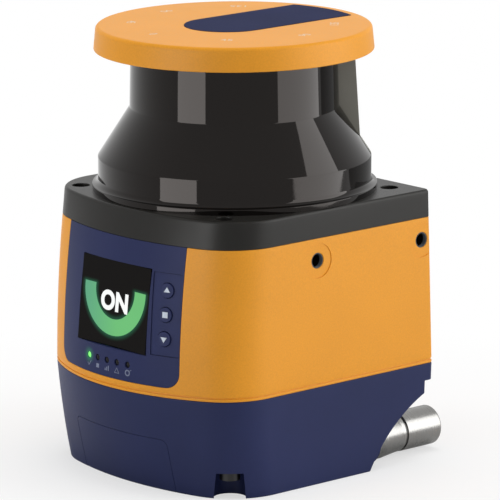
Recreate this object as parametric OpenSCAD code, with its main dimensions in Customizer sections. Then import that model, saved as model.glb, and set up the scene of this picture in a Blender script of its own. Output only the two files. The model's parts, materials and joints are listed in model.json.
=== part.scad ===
// Safety laser scanner: a moulded body with a display and three keys, a
// black head with a one-piece scan window, a rotating mirror inside it and
// two M12 connectors at the back of the foot.
// The origin is on the floor, on the mirror's axis. -Y is the display side.

/* [Body] */
// Width of the body at its widest, over the two side walls
body_w = 99.4; // [97:0.1:104]
// Distance from the mirror's axis to the rear wall
rear_y = 47.3; // [46:0.1:52]
// Distance from the axis to the line where the bowed front meets the corners
shoulder_y = 40; // [39:0.1:41]
// Reach of the front at the floor
foot_front = 50; // [48:0.1:54]
// Reach of the front at the joint of foot and housing
belly_front = 58.2; // [56:0.1:62]
// Reach of the front under the black collar
collar_front = 52.4; // [50:0.1:56]
// Reach of the front at the collar's top edge
deck_front = 50.5; // [49:0.1:53]
// Swell of the front between the joint and the collar
housing_swell = 1.4; // [0:0.1:2]
// Swell of the front between the floor and the joint
foot_swell = 0.8; // [0:0.1:2]
// Radius of the two front corners
corner_r = 21.5; // [19:0.5:23]
// Radius of the two rear corners
rear_r = 2; // [1:0.5:4]
// Narrowing of each side towards the floor
foot_taper = 1.8; // [0:0.1:3]
// Narrowing of each side towards the collar's top
deck_taper = 0.6; // [0:0.1:1.5]
// Slope of the rear wall towards the collar's top
rear_taper = 1.3; // [0:0.1:2]
// Wall of the mouldings
wall = 3.5; // [3.4:0.1:4]

/* [Heights] */
// Height of the foot
foot_h = 34.5; // [32:0.1:36]
// Height of the housing
housing_h = 51.4; // [50.5:0.1:55]
// Height of the collar
collar_h = 9.6; // [9:0.1:11]
// Thickness of the collar's top plate
deck_t = 4; // [3.5:0.1:5]
// Height of the window's lower cylinder with its flange
drum_h = 11.3; // [9.5:0.1:12.5]
// Height of the window's cone
cone_h = 17.1; // [15:0.1:19]
// Height of the window's neck
neck_h = 19.9; // [18:0.1:22]
// Height of the cap
cap_h = 8.2; // [7.8:0.1:10]

/* [Head] */
// Radius of the window's flange on the collar
flange_r = 48.9; // [48.7:0.1:49]
// Width of the flange round the window's lower cylinder
flange_w = 2; // [1.6:0.1:2.4]
// Narrowing of the window from its lower cylinder to its neck
cone_w = 11; // [9.5:0.1:11.5]
// Narrowing of the neck towards the cap
neck_taper = 0.5; // [0:0.1:1]
// Wall of the scan window
window_t = 2.5; // [2:0.1:3]
// Radius of the flare between window and flange
flare_r = 4; // [3.5:0.1:5]
// Thickness of the window's flange
flange_t = 2; // [1.5:0.1:2.4]
// Angle that the rear pillar takes of the circle
pillar_angle = 85; // [80:1:90]
// How far the pillar's back stands out behind the window's neck under the cap
pillar_out = 5.3; // [4.8:0.1:6]
// How far up the cone, in radius, the pillar's back leaves it
pillar_leave = 3.9; // [3.4:0.1:4.4]
// How far the pillar's face lies inside the window's neck
pillar_in = 2.3; // [1.4:0.1:2.4]
// Radius of the cap
cap_r = 48; // [47.5:0.1:50]
// Narrowing of the cap's side towards its top
cap_draft = 0.8; // [0:0.1:1.5]
// Rounding of the cap's top edge
cap_round = 1.4; // [0.5:0.1:2]
// Thickness of the cap's top and rim
cap_t = 2.6; // [2:0.1:3]
// Half-width of the plate set in the cap's top
label_r = 14.7; // [12:0.1:18]
// Distance from the axis to the centre of the plate's round end
label_y = 3; // [0:0.5:8]
// Distance of the collar's screws from the widest side of the body
head_screw_in = 12.2; // [11.8:0.1:12.8]
// Distance of the collar's front screws from the axis
head_front_y = 37.5; // [37:0.1:38]
// Distance of the collar's rear screws from the foot of the rear wall
head_rear_in = 9.8; // [9.4:0.1:10.4]
// Radius of the screw wells in the collar
head_well_r = 3; // [2.9:0.1:3.3]

/* [Front] */
// Width of the front panel
panel_w = 60.6; // [58:0.1:62]
// Height of the front panel's lower edge above the foot
panel_lift = 3.5; // [2.8:0.1:5]
// Thickness of the front panel
panel_t = 2; // [1.6:0.1:2.1]
// Radius of the panel's lower corners
panel_r = 5; // [3:0.1:8]
// Width of the display window
screen_w = 35.6; // [34:0.1:36]
// Height of the display window
screen_h = 29.6; // [27:0.1:30]
// Height of the display window's centre above the panel's lower edge
screen_rise = 24.7; // [24:0.1:25.5]
// Backward lean of the display
screen_lean = 6.4; // [5:0.1:7]
// Distance from the middle plane to the keys
key_x = 24.6; // [24:0.1:25]
// Distance between two keys
key_pitch = 8.2; // [7.5:0.1:9]
// Radius of a key
key_r = 2.5; // [2:0.1:2.8]
// Travel of a key
key_travel = 0.5; // [0.3:0.05:0.6]
// Turn of the key row about the upright axis
key_turn = 17.5; // [15:0.5:19]
// Width of the strip that the keys stand in
strip_w = 11; // [10:0.1:11.2]
// Height of the strip that the keys stand in
strip_h = 28; // [26:0.1:29]
// Height of the row of status lenses above the panel's lower edge
light_rise = 5.7; // [5:0.1:6.5]
// Distance between two status lenses
lens_pitch = 5; // [4:0.1:5.5]
// Radius of a status lens
lens_r = 1.1; // [0.7:0.05:1.2]

/* [Foot] */
// Half-width of the front cover
cover_x = 23.6; // [20:0.1:26]
// Height of the front cover
cover_z = 19; // [17:0.1:22]
// Thickness of the front cover
cover_t = 2; // [1.5:0.1:2.1]
// Radius of the arched cut under the rear
arch_r = 52; // [50:0.5:54]
// Distance from the rear wall to the centre of the arched cut
arch_back = 18.2; // [17.5:0.1:20]
// Height of the centre of the arched cut, below the floor
arch_z = -23.1; // [-24:0.1:-22]
// Depth of the step above the arched cut
step_in = 4; // [2.5:0.1:4.4]
// Height that is left above the step
step_drop = 6.1; // [5.5:0.1:7.5]
// Distance of the foot screws from the widest side of the body
foot_screw_in = 9.4; // [9:0.1:9.9]
// Distance of the front foot screws from the axis
foot_screw_y = 38.2; // [37.5:0.1:38.6]
// Distance of the rear foot screws from the axis
rear_screw_y = 2; // [0:0.5:4]
// Radius of the wells of the foot screws
foot_well_r = 5.6; // [5.2:0.1:5.8]
// Height of the wells of the foot screws
foot_well_h = 9.2; // [8:0.1:10]

/* [Mounting] */
// Distance of the side mounting holes below the collar
side_drop = 7.7; // [7.4:0.1:8.4]
// Distance of the rear mounting holes from the foot of the rear wall
side_rear_in = 5.3; // [5:0.1:6]
// Distance between the front and rear mounting holes
side_pitch = 48; // [46:0.5:48]
// Radius of the thread in the mounting holes
side_thread_r = 2.5; // [2:0.25:3]
// Length of the threaded inserts
insert_l = 7.5; // [6:0.5:7.5]
// Width across the flats of the threaded inserts
insert_af = 8; // [7.6:0.1:8.2]
// Radius of the flat round the mounting holes
spot_r = 6; // [5.5:0.1:6.5]
// Depth of the flat round the mounting holes
spot_d = 0.3; // [0.2:0.05:0.5]

/* [Connectors] */
// Distance of the connectors from the widest side of the body
plug_in = 13.7; // [13.2:0.1:15]
// Height of the connectors' axes
plug_z = 7.9; // [7.8:0.1:8.4]
// Radius of the connectors' sleeves
plug_r = 6.9; // [6.8:0.05:7.1]
// How far the sleeves stand out behind the rear wall
plug_out = 10.5; // [8:0.1:12]
// Length of the sleeves from the groove to the end
plug_sleeve_l = 15.8; // [13:0.1:16]
// Width of the groove between hub and sleeve
plug_groove = 0.9; // [0.6:0.1:1.2]
// Radius of the opening in the sleeves
plug_bore_r = 5.45; // [5.3:0.05:5.6]
// Depth of the opening in the sleeves
plug_bore_l = 9; // [8:0.5:10]

/* [Drive] */
// Radius of the motor shaft
shaft_r = 1.98; // [1.5:0.01:2.4]
// Running clearance of the shaft in its bearings
shaft_clear = 0.02; // [0.01:0.005:0.05]
// Outer radius of the bearings
bearing_r = 5.5; // [5.2:0.1:6]
// Height of a bearing
bearing_h = 4; // [3:0.1:4]
// Radius of the mirror head
mirror_r = 14; // [12:0.5:15]
// Distance below the cap where the mirror meets the axis
mirror_drop = 29.8; // [29.6:0.1:30.4]
// Thickness of the mirror
mirror_t = 1.5; // [1:0.1:2]
// Radius of the encoder disc
encoder_r = 24; // [22.5:0.5:25]
// Radius of the receiving lens
receiver_r = 15; // [13:0.5:15]

/* [Fits] */
// Gap between parts that are set into one another
gap = 0.15; // [0.1:0.05:0.2]
// Side gap of a key in its hole
key_gap = 0.2; // [0.15:0.05:0.3]

/* [Hidden] */
e = 0.01;
far = 200;
side_x = [-1, 1];

split_z = foot_h;
collar_z = split_z + housing_h;
deck_z = collar_z + collar_h;
drum_z = deck_z + drum_h;
neck_z = drum_z + cone_h;
cap_z = neck_z + neck_h;
total_h = cap_z + cap_h;
drum_r = flange_r - flange_w;
neck_r = drum_r - cone_w;
pillar_top_r = neck_r + pillar_out;
pillar_foot_r = drum_r - pillar_leave;
pillar_in_r = neck_r - pillar_in;
panel_z = split_z + panel_lift;
screen_z = panel_z + screen_rise;
key_z = screen_z;
lens_z = panel_z + light_rise;
arch_y = rear_y + arch_back;
step_y = rear_y - step_in;
step_z = split_z - step_drop;
foot_screw_x = body_w / 2 - foot_screw_in;
side_z = collar_z - side_drop;
side_rear_y = rear_y - side_rear_in;
plug_x = body_w / 2 - plug_in;
plug_end_y = rear_y + plug_out;
mirror_z = cap_z - mirror_drop;

yellow = [0.93, 0.65, 0.25];
blue = [0.20, 0.22, 0.36];
black = [0.12, 0.12, 0.12];
collar_grey = [0.22, 0.22, 0.22];
steel = [0.75, 0.75, 0.73];
green_board = [0.10, 0.35, 0.20];

// ---- the body's form, as functions of height ----
function lerp(a, b, t) = a + (b - a) * t;
function swell(h, t) = 4 * h * t * (1 - t);
function in_foot(z) = z / split_z;
function in_housing(z) = (z - split_z) / (collar_z - split_z);
function in_collar(z) = (z - collar_z) / (deck_z - collar_z);
function above_split(z) = (z - split_z) / (deck_z - split_z);
// Half-width of the body at height z
function half_w(z) = z < split_z
    ? lerp(body_w / 2 - foot_taper, body_w / 2, in_foot(z))
    : body_w / 2 - deck_taper * above_split(z);
// Distance from the axis to the rear wall at height z
function back_y(z) = z < split_z ? rear_y : rear_y - rear_taper * above_split(z);
// Reach of the front at height z
function reach(z) = z < split_z
    ? lerp(foot_front, belly_front, in_foot(z)) + swell(foot_swell, in_foot(z))
    : z < collar_z
        ? lerp(belly_front, collar_front, in_housing(z)) + swell(housing_swell, in_housing(z))
        : lerp(collar_front, deck_front, in_collar(z));
// Radius and centre of the bowed front, and centre of the corner arc
function bow(z) = reach(z) - shoulder_y;
function bow_r(z) = (half_w(z) * half_w(z) + bow(z) * bow(z)) / (2 * bow(z));
function bow_cy(z) = bow_r(z) - reach(z);
function corner_x(z) = half_w(z) - corner_r;
function corner_y(z) = bow_cy(z) - sqrt(pow(bow_r(z) - corner_r, 2) - pow(corner_x(z), 2));
function corner_end(z) = atan2(corner_y(z) - bow_cy(z), corner_x(z));
function arc(cx, cy, r, a0, a1, n) = [
    for (i = [0:n]) [cx + r * cos(lerp(a0, a1, i / n)), cy + r * sin(lerp(a0, a1, i / n))]
];
// Plan of the body at height z, drawn in by d, from the right rear corner round the front
function plan(z, d) = let (
    w = half_w(z), b = back_y(z), c = corner_end(z), x = corner_x(z), y = corner_y(z)
) concat(
    arc(w - rear_r - max(0, d - rear_r), b - max(rear_r, d), max(rear_r - d, e), 90, 0, 2),
    arc(x, y, corner_r - d, 0, c, 7),
    [for (p = arc(0, bow_cy(z), bow_r(z) - d, c, -180 - c, 18)) p],
    arc(-x, y, corner_r - d, -180 - c, -180, 7),
    arc(-w + rear_r + max(0, d - rear_r), b - max(rear_r, d), max(rear_r - d, e), 180, 90, 2)
);
// Solid between stacked plans; each level is [height, how far it is drawn in, height of its plan]
module loft(levels) {
    rings = [for (l = levels) [for (p = plan(l[2] == undef ? l[0] : l[2], l[1])) [p[0], p[1], l[0]]]];
    n = len(rings[0]);
    m = len(rings);
    polyhedron(
        points = [for (r = rings) for (p = r) p],
        faces = concat(
            [[for (i = [n - 1:-1:0]) i]],
            [[for (i = [0:n - 1]) (m - 1) * n + i]],
            [for (k = [0:m - 2]) for (i = [0:n - 1]) let (j = (i + 1) % n)
                [k * n + i, k * n + j, (k + 1) * n + j]],
            [for (k = [0:m - 2]) for (i = [0:n - 1]) let (j = (i + 1) % n)
                [k * n + i, (k + 1) * n + j, (k + 1) * n + i]]
        )
    );
}
function steps(z0, z1, n, d) = [for (i = [0:n]) [lerp(z0, z1, i / n), d]];
// Block as wide as w between heights z0 and z1, through the front wall, with its corners rounded
module front_block(w, z0, z1, r_low, r_high) {
    translate([0, -20, 0])
        rotate([90, 0, 0])
            linear_extrude(60)
                union() {
                    translate([-w / 2, z0 + r_low]) square([w, z1 - z0 - r_low - r_high]);
                    translate([-w / 2 + r_low, z0]) square([w - 2 * r_low, r_low + e]);
                    translate([-w / 2 + r_high, z1 - r_high - e]) square([w - 2 * r_high, r_high + e]);
                    for (s = side_x) {
                        if (r_low > e) translate([s * (w / 2 - r_low), z0 + r_low]) circle(r_low, $fn = 48);
                        if (r_high > e)
                            translate([s * (w / 2 - r_high), z1 - r_high]) circle(r_high, $fn = 48);
                    }
                }
}
module rod(r, z0, z1) {
    translate([0, 0, z0]) cylinder(r = r, h = z1 - z0, $fn = 64);
}
module hex_rod(af, z0, z1) {
    translate([0, 0, z0]) cylinder(r = af / 2 / cos(30), h = z1 - z0, $fn = 6);
}
// Cone that takes the edge off a hole of radius r at height z, opening down (dir 1) or up (dir -1)
module chamfer(r, c, z, dir) {
    translate([0, 0, dir > 0 ? z - e : z - c])
        cylinder(r1 = dir > 0 ? r + c + e : r, r2 = dir > 0 ? r : r + c + e, h = c + e, $fn = 64);
}
module tube(r_out, r_in, z0, z1) {
    difference() {
        rod(r_out, z0, z1);
        rod(r_in, z0 - 1, z1 + 1);
    }
}
module box(x0, x1, y0, y1, z0, z1) {
    translate([x0, y0, z0]) cube([x1 - x0, y1 - y0, z1 - z0]);
}
// Screw along Z with its head at z_head, pointing up (dir 1) or down (dir -1)
module screw(r, l, head_r, head_h, z_head, dir) {
    socket = head_r * 0.5;
    difference() {
        union() {
            rod(r, min(z_head, z_head + dir * l), max(z_head, z_head + dir * l));
            rod(head_r, min(z_head, z_head - dir * head_h), max(z_head, z_head - dir * head_h));
        }
        translate([0, 0, z_head - dir * head_h * 0.7 - (dir > 0 ? 5 : 0)])
            cylinder(r = socket, h = 5, $fn = 6);
    }
}

// ---- places shared by several parts ----
head_screw_r = 1.5;
head_screw_x = body_w / 2 - head_screw_in;
head_rear_y = rear_y - head_rear_in;
head_well_z = deck_z - 6;
boss_r = 4.6;
module at_head_screws() {
    for (x = side_x) for (y = [-head_front_y, head_rear_y]) translate([x * head_screw_x, y, 0]) children();
}
foot_screws = [for (x = side_x) for (y = [-foot_screw_y, rear_screw_y]) [x * foot_screw_x, y, 0]];
foot_screw_r = 2;
foot_thread_l = 11;
module at_foot_screws() {
    for (p = foot_screws) translate(p) children();
}
insert_skin = 1.5;
insert_chamfer = 0.3;
insert_relief = 0.5;
side_face = half_w(side_z) - spot_d;
module at_side_holes() {
    for (s = side_x) for (y = [side_rear_y - side_pitch, side_rear_y])
        translate([s * side_face, y, side_z]) rotate([0, -s * 90, 0]) children();
}
// Key row: its frame has -Y pointing straight out of the panel at the middle key
function front_y(x, z, d) = bow_cy(z) - sqrt(pow(bow_r(z) - d, 2) - x * x);
key_tilt = atan((front_y(key_x, key_z + key_pitch, 0) - front_y(key_x, key_z - key_pitch, 0))
    / (2 * key_pitch));
module at_key(i) {
    translate([key_x, front_y(key_x, key_z + i * key_pitch, 0), key_z + i * key_pitch])
        rotate([-key_tilt, 0, key_turn])
            children();
}
strip_t = 0.9;
strip_d = 0.3;
key_hole_r = key_r + key_gap;
key_flange_r = key_r + 0.75;
key_front = -0.25;
key_flange_y = strip_d + strip_t + 0.35;
key_flange_t = 0.7;
key_stem_y = 3.2;
switch_y = key_stem_y + key_travel + 0.05;
switch_t = 1.6;
keypad_board_y = switch_y + switch_t;
// Display: its frame has -Y pointing out of the glass
screen_y = front_y(screen_w / 2, screen_z, 0);
glass_t = 1.1;
module_t = 3;
display_board_t = 1.6;
module at_screen() {
    translate([0, screen_y, screen_z]) rotate([-screen_lean, 0, 0]) children();
}
// The lenses end short of the display's board
lens_back_y = screen_y + glass_t + module_t - (screen_z - lens_z) * tan(screen_lean) - 0.3;
// Posts behind the panel carry the two boards: places in the display's and in the key row's frame
screen_posts = [[-14, 16.2], [14, 16.2], [-14, -16.9], [14, -16.9]];
key_posts = [[0, 13.6], [0, -13.6]];
post_r = 1.2;

// ---- cap ----
cap_rim_r = cap_r - cap_t;
plate_t = 2.5;
module top_cap() {
    color(yellow)
        difference() {
            rotate_extrude($fn = 128)
                polygon(concat(
                    [[0, cap_z], [cap_r, cap_z]],
                    arc(cap_r - cap_draft - cap_round, total_h - cap_round, cap_round, 0, 90, 6),
                    [[0, total_h]]
                ));
            rod(cap_rim_r, cap_z - 1, total_h - cap_t);
            translate([0, 0, total_h - label_sink]) linear_extrude(5) label_outline(gap);
        }
    color(yellow)
        for (a = cap_screw_at) rotate([0, 0, a]) translate([cap_screw_r, 0, 0])
            tube(cap_boss_r, cap_screw_hole, cap_z + plate_t, total_h - cap_t + e);
}
cap_screw_at = [15, 165, 270];
cap_boss_r = 3.2;
cap_screw_r = cap_rim_r - cap_boss_r - 0.6;
cap_screw_hole = 1.25;
label_sink = 0.3;
label_t = 0.45;
label_end = cap_r - cap_draft - cap_round - 2.5;
module label_outline(grow) {
    intersection() {
        union() {
            translate([0, -label_y]) circle(label_r + grow, $fn = 96);
            translate([-label_r - grow, -label_y]) square([2 * (label_r + grow), label_end + label_y + 5]);
        }
        circle(label_end + grow, $fn = 128);
    }
}
module top_label() {
    color(blue)
        translate([0, 0, total_h - label_sink]) linear_extrude(label_t) label_outline(0);
}
head_low_h = 1.3;
cap_screw_l = total_h - cap_t - cap_z - head_low_h - 0.3;
module cap_screws() {
    color(steel)
        for (a = cap_screw_at) rotate([0, 0, a]) translate([cap_screw_r, 0, 0])
            screw(cap_screw_hole, cap_screw_l, 2.6, head_low_h, cap_z + head_low_h, 1);
}
motor_screw_at = [30, 150, 270];
motor_screw_r = 19;
plate_screw_at = [72, 108];
plate_screw_r = (pillar_in_r + pillar_top_r) / 2;
module top_plate() {
    color(black)
        difference() {
            tube(cap_rim_r - gap, bearing_r + 1, cap_z, cap_z + plate_t);
            for (a = cap_screw_at) rotate([0, 0, a]) translate([cap_screw_r, 0, 0]) {
                rod(1.5, cap_z - 1, cap_z + plate_t + 1);
                rod(2.75, cap_z - 1, cap_z + head_low_h);
            }
            for (a = motor_screw_at) rotate([0, 0, a]) translate([motor_screw_r, 0, 0]) {
                rod(1.25, cap_z - 1, cap_z + plate_t + 1);
                rod(2.6, cap_z + plate_t - head_low_h, cap_z + plate_t + 1);
            }
            for (a = plate_screw_at) rotate([0, 0, a]) translate([plate_screw_r, 0, 0]) {
                rod(1.5, cap_z - 1, cap_z + plate_t + 1);
                rod(2.8, cap_z + plate_t - head_low_h, cap_z + plate_t + 1);
            }
        }
}
module plate_screws() {
    color(steel) {
        for (a = plate_screw_at) rotate([0, 0, a]) translate([plate_screw_r, 0, 0])
            screw(1.5, 8, 2.7, head_low_h, cap_z + plate_t - head_low_h, -1);
        for (a = motor_screw_at) rotate([0, 0, a]) translate([motor_screw_r, 0, 0])
            screw(1.25, 3, 2.5, head_low_h, cap_z + plate_t - head_low_h, -1);
    }
}
motor_flange_r = 22;
monitor_r = pillar_in_r - 0.6;
module window_monitor_board() {
    color(green_board) {
        tube(monitor_r, motor_flange_r + 0.5, cap_z + plate_t, cap_z + plate_t + 1.2);
        for (a = [0:45:315])
            rotate([0, 0, a + 22.5]) translate([monitor_r - 5, 0, cap_z + plate_t + 1.2 - e])
            translate([-1.5, -1.5, 0]) cube([3, 3, 1]);
    }
}

// ---- window ----
flare_turn = acos(1 - (flange_r - drum_r) / flare_r);
flare_z = deck_z + flange_t + flare_r * sin(flare_turn);
cone_slope = (drum_r - neck_r) / (neck_z - drum_z);
module window_profile() {
    polygon(concat(
        [[drum_r - window_t, deck_z], [flange_r, deck_z], [flange_r, deck_z + flange_t]],
        [for (i = [1:6]) let (a = flare_turn * (1 - i / 6))
            [drum_r + flare_r * (1 - cos(a)), flare_z - flare_r * sin(a)]],
        [[drum_r, drum_z], [neck_r, neck_z], [neck_r - neck_taper, cap_z]],
        [[neck_r - neck_taper - window_t, cap_z], [neck_r - window_t, neck_z + 0.8]],
        [[drum_r - window_t, drum_z + 1.2]]
    ));
}
module scan_window() {
    open = pillar_angle / 2 + 0.25;
    color(black)
        difference() {
            rotate_extrude($fn = 128) window_profile();
            rotate([0, 0, 90 - open])
                rotate_extrude(angle = 2 * open, $fn = 128)
                    polygon([
                        [20, deck_z - 1],
                        [drum_r + gap, deck_z - 1],
                        [drum_r + gap, deck_z + flange_t],
                        [far, deck_z + flange_t],
                        [far, cap_z + 1],
                        [20, cap_z + 1]
                    ]);
        }
}
seal_r = drum_r;
seal_w = 1.2;
seal_h = 0.8;
module window_seal() {
    color(black) tube(seal_r + seal_w / 2, seal_r - seal_w / 2, deck_z - seal_h, deck_z);
}

// ---- collar and pillar ----
barrel_r = receiver_r + 3;
module pillar() {
    rotate([0, 0, 90 - pillar_angle / 2])
        rotate_extrude(angle = pillar_angle, $fn = 128)
            polygon([
                [pillar_in_r, deck_z - e],
                [drum_r, deck_z - e],
                [drum_r, drum_z],
                [pillar_foot_r, drum_z + (drum_r - pillar_foot_r) / cone_slope],
                [pillar_top_r, cap_z],
                [pillar_in_r, cap_z]
            ]);
}
flex_w = 12;
flex_t = 0.4;
module head_frame() {
    color(collar_grey)
        difference() {
            union() {
                difference() {
                    loft([
                        [collar_z, 0],
                        [deck_z - 0.6, 0],
                        [deck_z - 0.2, 0.2],
                        [deck_z, 0.6]
                    ]);
                    difference() {
                        loft([[collar_z - 1, wall, collar_z], [deck_z - deck_t, wall]]);
                        at_head_screws() rod(boss_r, collar_z - 2, deck_z);
                    }
                }
                pillar();
            }
            rod(barrel_r + gap, collar_z - 5, deck_z + 5);
            tube(seal_r + seal_w / 2, seal_r - seal_w / 2, deck_z - seal_h, deck_z + e);
            at_head_screws() {
                rod(head_well_r, head_well_z, deck_z + 2);
                rod(head_screw_r + gap, collar_z - 2, deck_z);
            }
            for (a = plate_screw_at) rotate([0, 0, a]) translate([plate_screw_r, 0, 0])
                rod(1.5, cap_z - 8, cap_z + 1);
            for (a = barrel_screw_at) rotate([0, 0, a]) translate([barrel_screw_r, 0, 0])
                rod(1.25, collar_z, deck_z - 1);
            box(-flex_w / 2 - 1, flex_w / 2 + 1, pillar_in_r - 2, pillar_in_r + 1.2, collar_z, cap_z + 1);
        }
}
module head_screws() {
    color(steel) at_head_screws() screw(head_screw_r, 14, 2.7, 2.4, head_well_z, -1);
}
gasket_d = wall - 1.2;
gasket_w = 0.8;
gasket_h = 0.6;
module gasket(z) {
    difference() {
        loft([[z, gasket_d, z], [z + gasket_h, gasket_d, z]]);
        loft([[z - 1, gasket_d + gasket_w, z], [z + gasket_h + 1, gasket_d + gasket_w, z]]);
    }
}
module head_gasket() {
    color(black) gasket(collar_z - gasket_h);
}
module base_gasket() {
    color(black) gasket(split_z);
}

// ---- housing ----
opening_l = 22;
opening_r = 30;
opening_up = 3.2;
opening_top = 18.3;
lip_h = 0.9;
lip_groove = 0.35;
module housing_form() {
    loft(concat(
        [
            [split_z, 0.1],
            [split_z + 0.25, 0],
            [split_z + lip_h, 0],
            [split_z + lip_h + 0.15, lip_groove],
            [split_z + lip_h + 0.55, lip_groove],
            [split_z + lip_h + 0.8, 0]
        ],
        steps(split_z + 4, collar_z, 8, 0)
    ));
}
// Everything of the body's skin between depth d0 and d1
module skin(z0, z1, d0, d1) {
    difference() {
        loft(steps(z0, z1, 7, d0));
        loft([for (l = steps(z0, z1, 7, d1)) [l[0] + (l[0] == z0 ? -1 : l[0] == z1 ? 1 : 0), d1, l[0]]]);
    }
}
panel_top = collar_z - 0.05;
module panel_pocket(grow) {
    intersection() {
        skin(panel_z - 1, panel_top, -1, panel_t);
        front_block(panel_w + 2 * grow, panel_z - grow, collar_z + 2, panel_r + grow, 0);
    }
    intersection() {
        skin(panel_top - e, collar_z + 1, -1, panel_t);
        front_block(panel_w + 2 * grow, panel_z - grow, collar_z + 2, panel_r + grow, 0);
    }
}
module main_housing() {
    color(yellow)
        difference() {
            housing_form();
            difference() {
                loft(concat(
                    [[split_z - 1, wall, split_z]],
                    steps(split_z + 3, collar_z - 3, 7, wall),
                    [[collar_z + 1, wall, collar_z]]
                ));
                at_head_screws() rod(boss_r, collar_z - 16, collar_z + 5);
                for (x = side_x) {
                    box(x * half_w(collar_z) - 9, x * half_w(collar_z) + 9, head_rear_y - 2,
                        rear_y, collar_z - 16, collar_z + 5);
                }
                at_foot_screws() rod(boss_r, split_z - 5, split_z + 13);
                for (x = side_x) {
                    box(x * half_w(split_z) - 8, x * half_w(split_z) + 8, rear_screw_y - 2,
                        rear_screw_y + 2, split_z - 5, split_z + 13);
                }
                at_side_holes() rod(spot_r, -2, insert_skin + insert_l + 2);
            }
            panel_pocket(gap);
            box(-opening_l, opening_r, -far, -30, panel_z + opening_up, screen_z + opening_top);
            gasket(collar_z - gasket_h);
            gasket(split_z);
            at_head_screws() rod(head_screw_r, collar_z - 13, collar_z + 1);
            at_foot_screws() rod(foot_screw_r, split_z - 1, split_z + foot_thread_l);
            at_side_holes() {
                rod(spot_r, -5, 0);
                rod(side_thread_r + 0.2, -1, insert_skin + 1);
                hex_rod(insert_af, insert_skin, insert_skin + insert_l + insert_relief);
            }
        }
}
module side_inserts() {
    color([0.5, 0.5, 0.48])
        at_side_holes()
            difference() {
                hex_rod(insert_af, insert_skin, insert_skin + insert_l);
                rod(side_thread_r, insert_skin - 1, insert_skin + insert_l + 1);
                chamfer(side_thread_r, insert_chamfer, insert_skin, 1);
                chamfer(side_thread_r, insert_chamfer, insert_skin + insert_l, -1);
            }
}

// ---- front panel, display and keys ----
module keypad_outline(grow) {
    at_key(0)
        translate([-strip_w / 2 - grow, -10, -strip_h / 2 - grow])
            cube([strip_w + 2 * grow, 30, strip_h + 2 * grow]);
}
module front_panel() {
    color(blue)
        difference() {
            intersection() {
                skin(panel_z - 1, panel_top, 0, panel_t);
                front_block(panel_w, panel_z, collar_z + 2, panel_r, 0);
            }
            at_screen()
                box(-screen_w / 2, screen_w / 2, -10, 10, -screen_h / 2, screen_h / 2);
            intersection() {
                skin(panel_z - 1, panel_top, -1, strip_d + strip_t);
                keypad_outline(gap);
            }
            for (i = [-1:1]) at_key(i) rotate([90, 0, 0]) rod(key_flange_r + key_gap, -10, 5);
            for (i = [-2:2]) translate([i * lens_pitch, 0, lens_z]) rotate([90, 0, 0])
                rod(lens_r, 40, 70);
        }
    color(blue)
        intersection() {
            loft(steps(panel_z - 1, panel_top, 7, panel_t - e));
            union() {
                at_screen() for (p = screen_posts) translate([p[0], 0, p[1]]) rotate([-90, 0, 0])
                    rod(post_r, -10, glass_t + module_t);
                at_key(0) for (p = key_posts) translate([p[0], 0, p[1]]) rotate([-90, 0, 0])
                    rod(post_r, -10, keypad_board_y);
            }
        }
}
module display_window() {
    w = screen_w / 2 - gap;
    h = screen_h / 2 - gap;
    color([0.02, 0.02, 0.02]) at_screen() box(-w, w, 0, glass_t, -h, h);
}
module display_module() {
    w = screen_w / 2 - 2 * gap;
    h = screen_h / 2 - 2 * gap;
    color([0.8, 0.8, 0.82]) at_screen() box(-w, w, glass_t, glass_t + module_t, -h, h);
}
module display_board() {
    y = glass_t + module_t;
    color(green_board)
        at_screen() {
            box(-20, 17, y, y + display_board_t, -20.5, 17.5);
            box(-8, 8, y + display_board_t - e, y + display_board_t + 3, 4, 12);
            box(-12, -2, y + display_board_t - e, y + display_board_t + 1.2, -12, -2);
        }
}
module keypad_strip() {
    color([0.23, 0.26, 0.40])
        difference() {
            intersection() {
                skin(panel_z - 1, panel_top, strip_d, strip_d + strip_t);
                keypad_outline(0);
            }
            for (i = [-1:1]) at_key(i) rotate([90, 0, 0]) rod(key_hole_r, -10, 10);
        }
}
module key(i) {
    color([0.23, 0.26, 0.40])
        at_key(i)
            rotate([-90, 0, 0])
                union() {
                    rod(key_r, key_front, key_flange_y + e);
                    rod(key_flange_r, key_flange_y, key_flange_y + key_flange_t);
                    rod(1.4, key_flange_y, key_stem_y);
                }
}
module key_switches() {
    color([0.15, 0.15, 0.15])
        for (i = [-1:1]) at_key(i) box(-3, 3, switch_y, switch_y + switch_t, -3, 3);
}
module keypad_board() {
    color(green_board)
        difference() {
            at_key(0) box(-4, 5.2, keypad_board_y, keypad_board_y + 1.2, -16, 16);
            for (i = [-1:1]) at_key(i) box(-3, 3, switch_y, switch_y + switch_t, -3, 3);
        }
}
module status_lens(i) {
    translate([i * lens_pitch, 0, lens_z]) rotate([90, 0, 0])
        rod(lens_r, -lens_back_y, -front_y(i * lens_pitch, lens_z, 0) + 0.1);
}
module run_lens() {
    color([0.3, 0.95, 0.3]) status_lens(-2);
}
module status_lenses() {
    color([0.05, 0.07, 0.1]) for (i = [-1:2]) status_lens(i);
}

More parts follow.
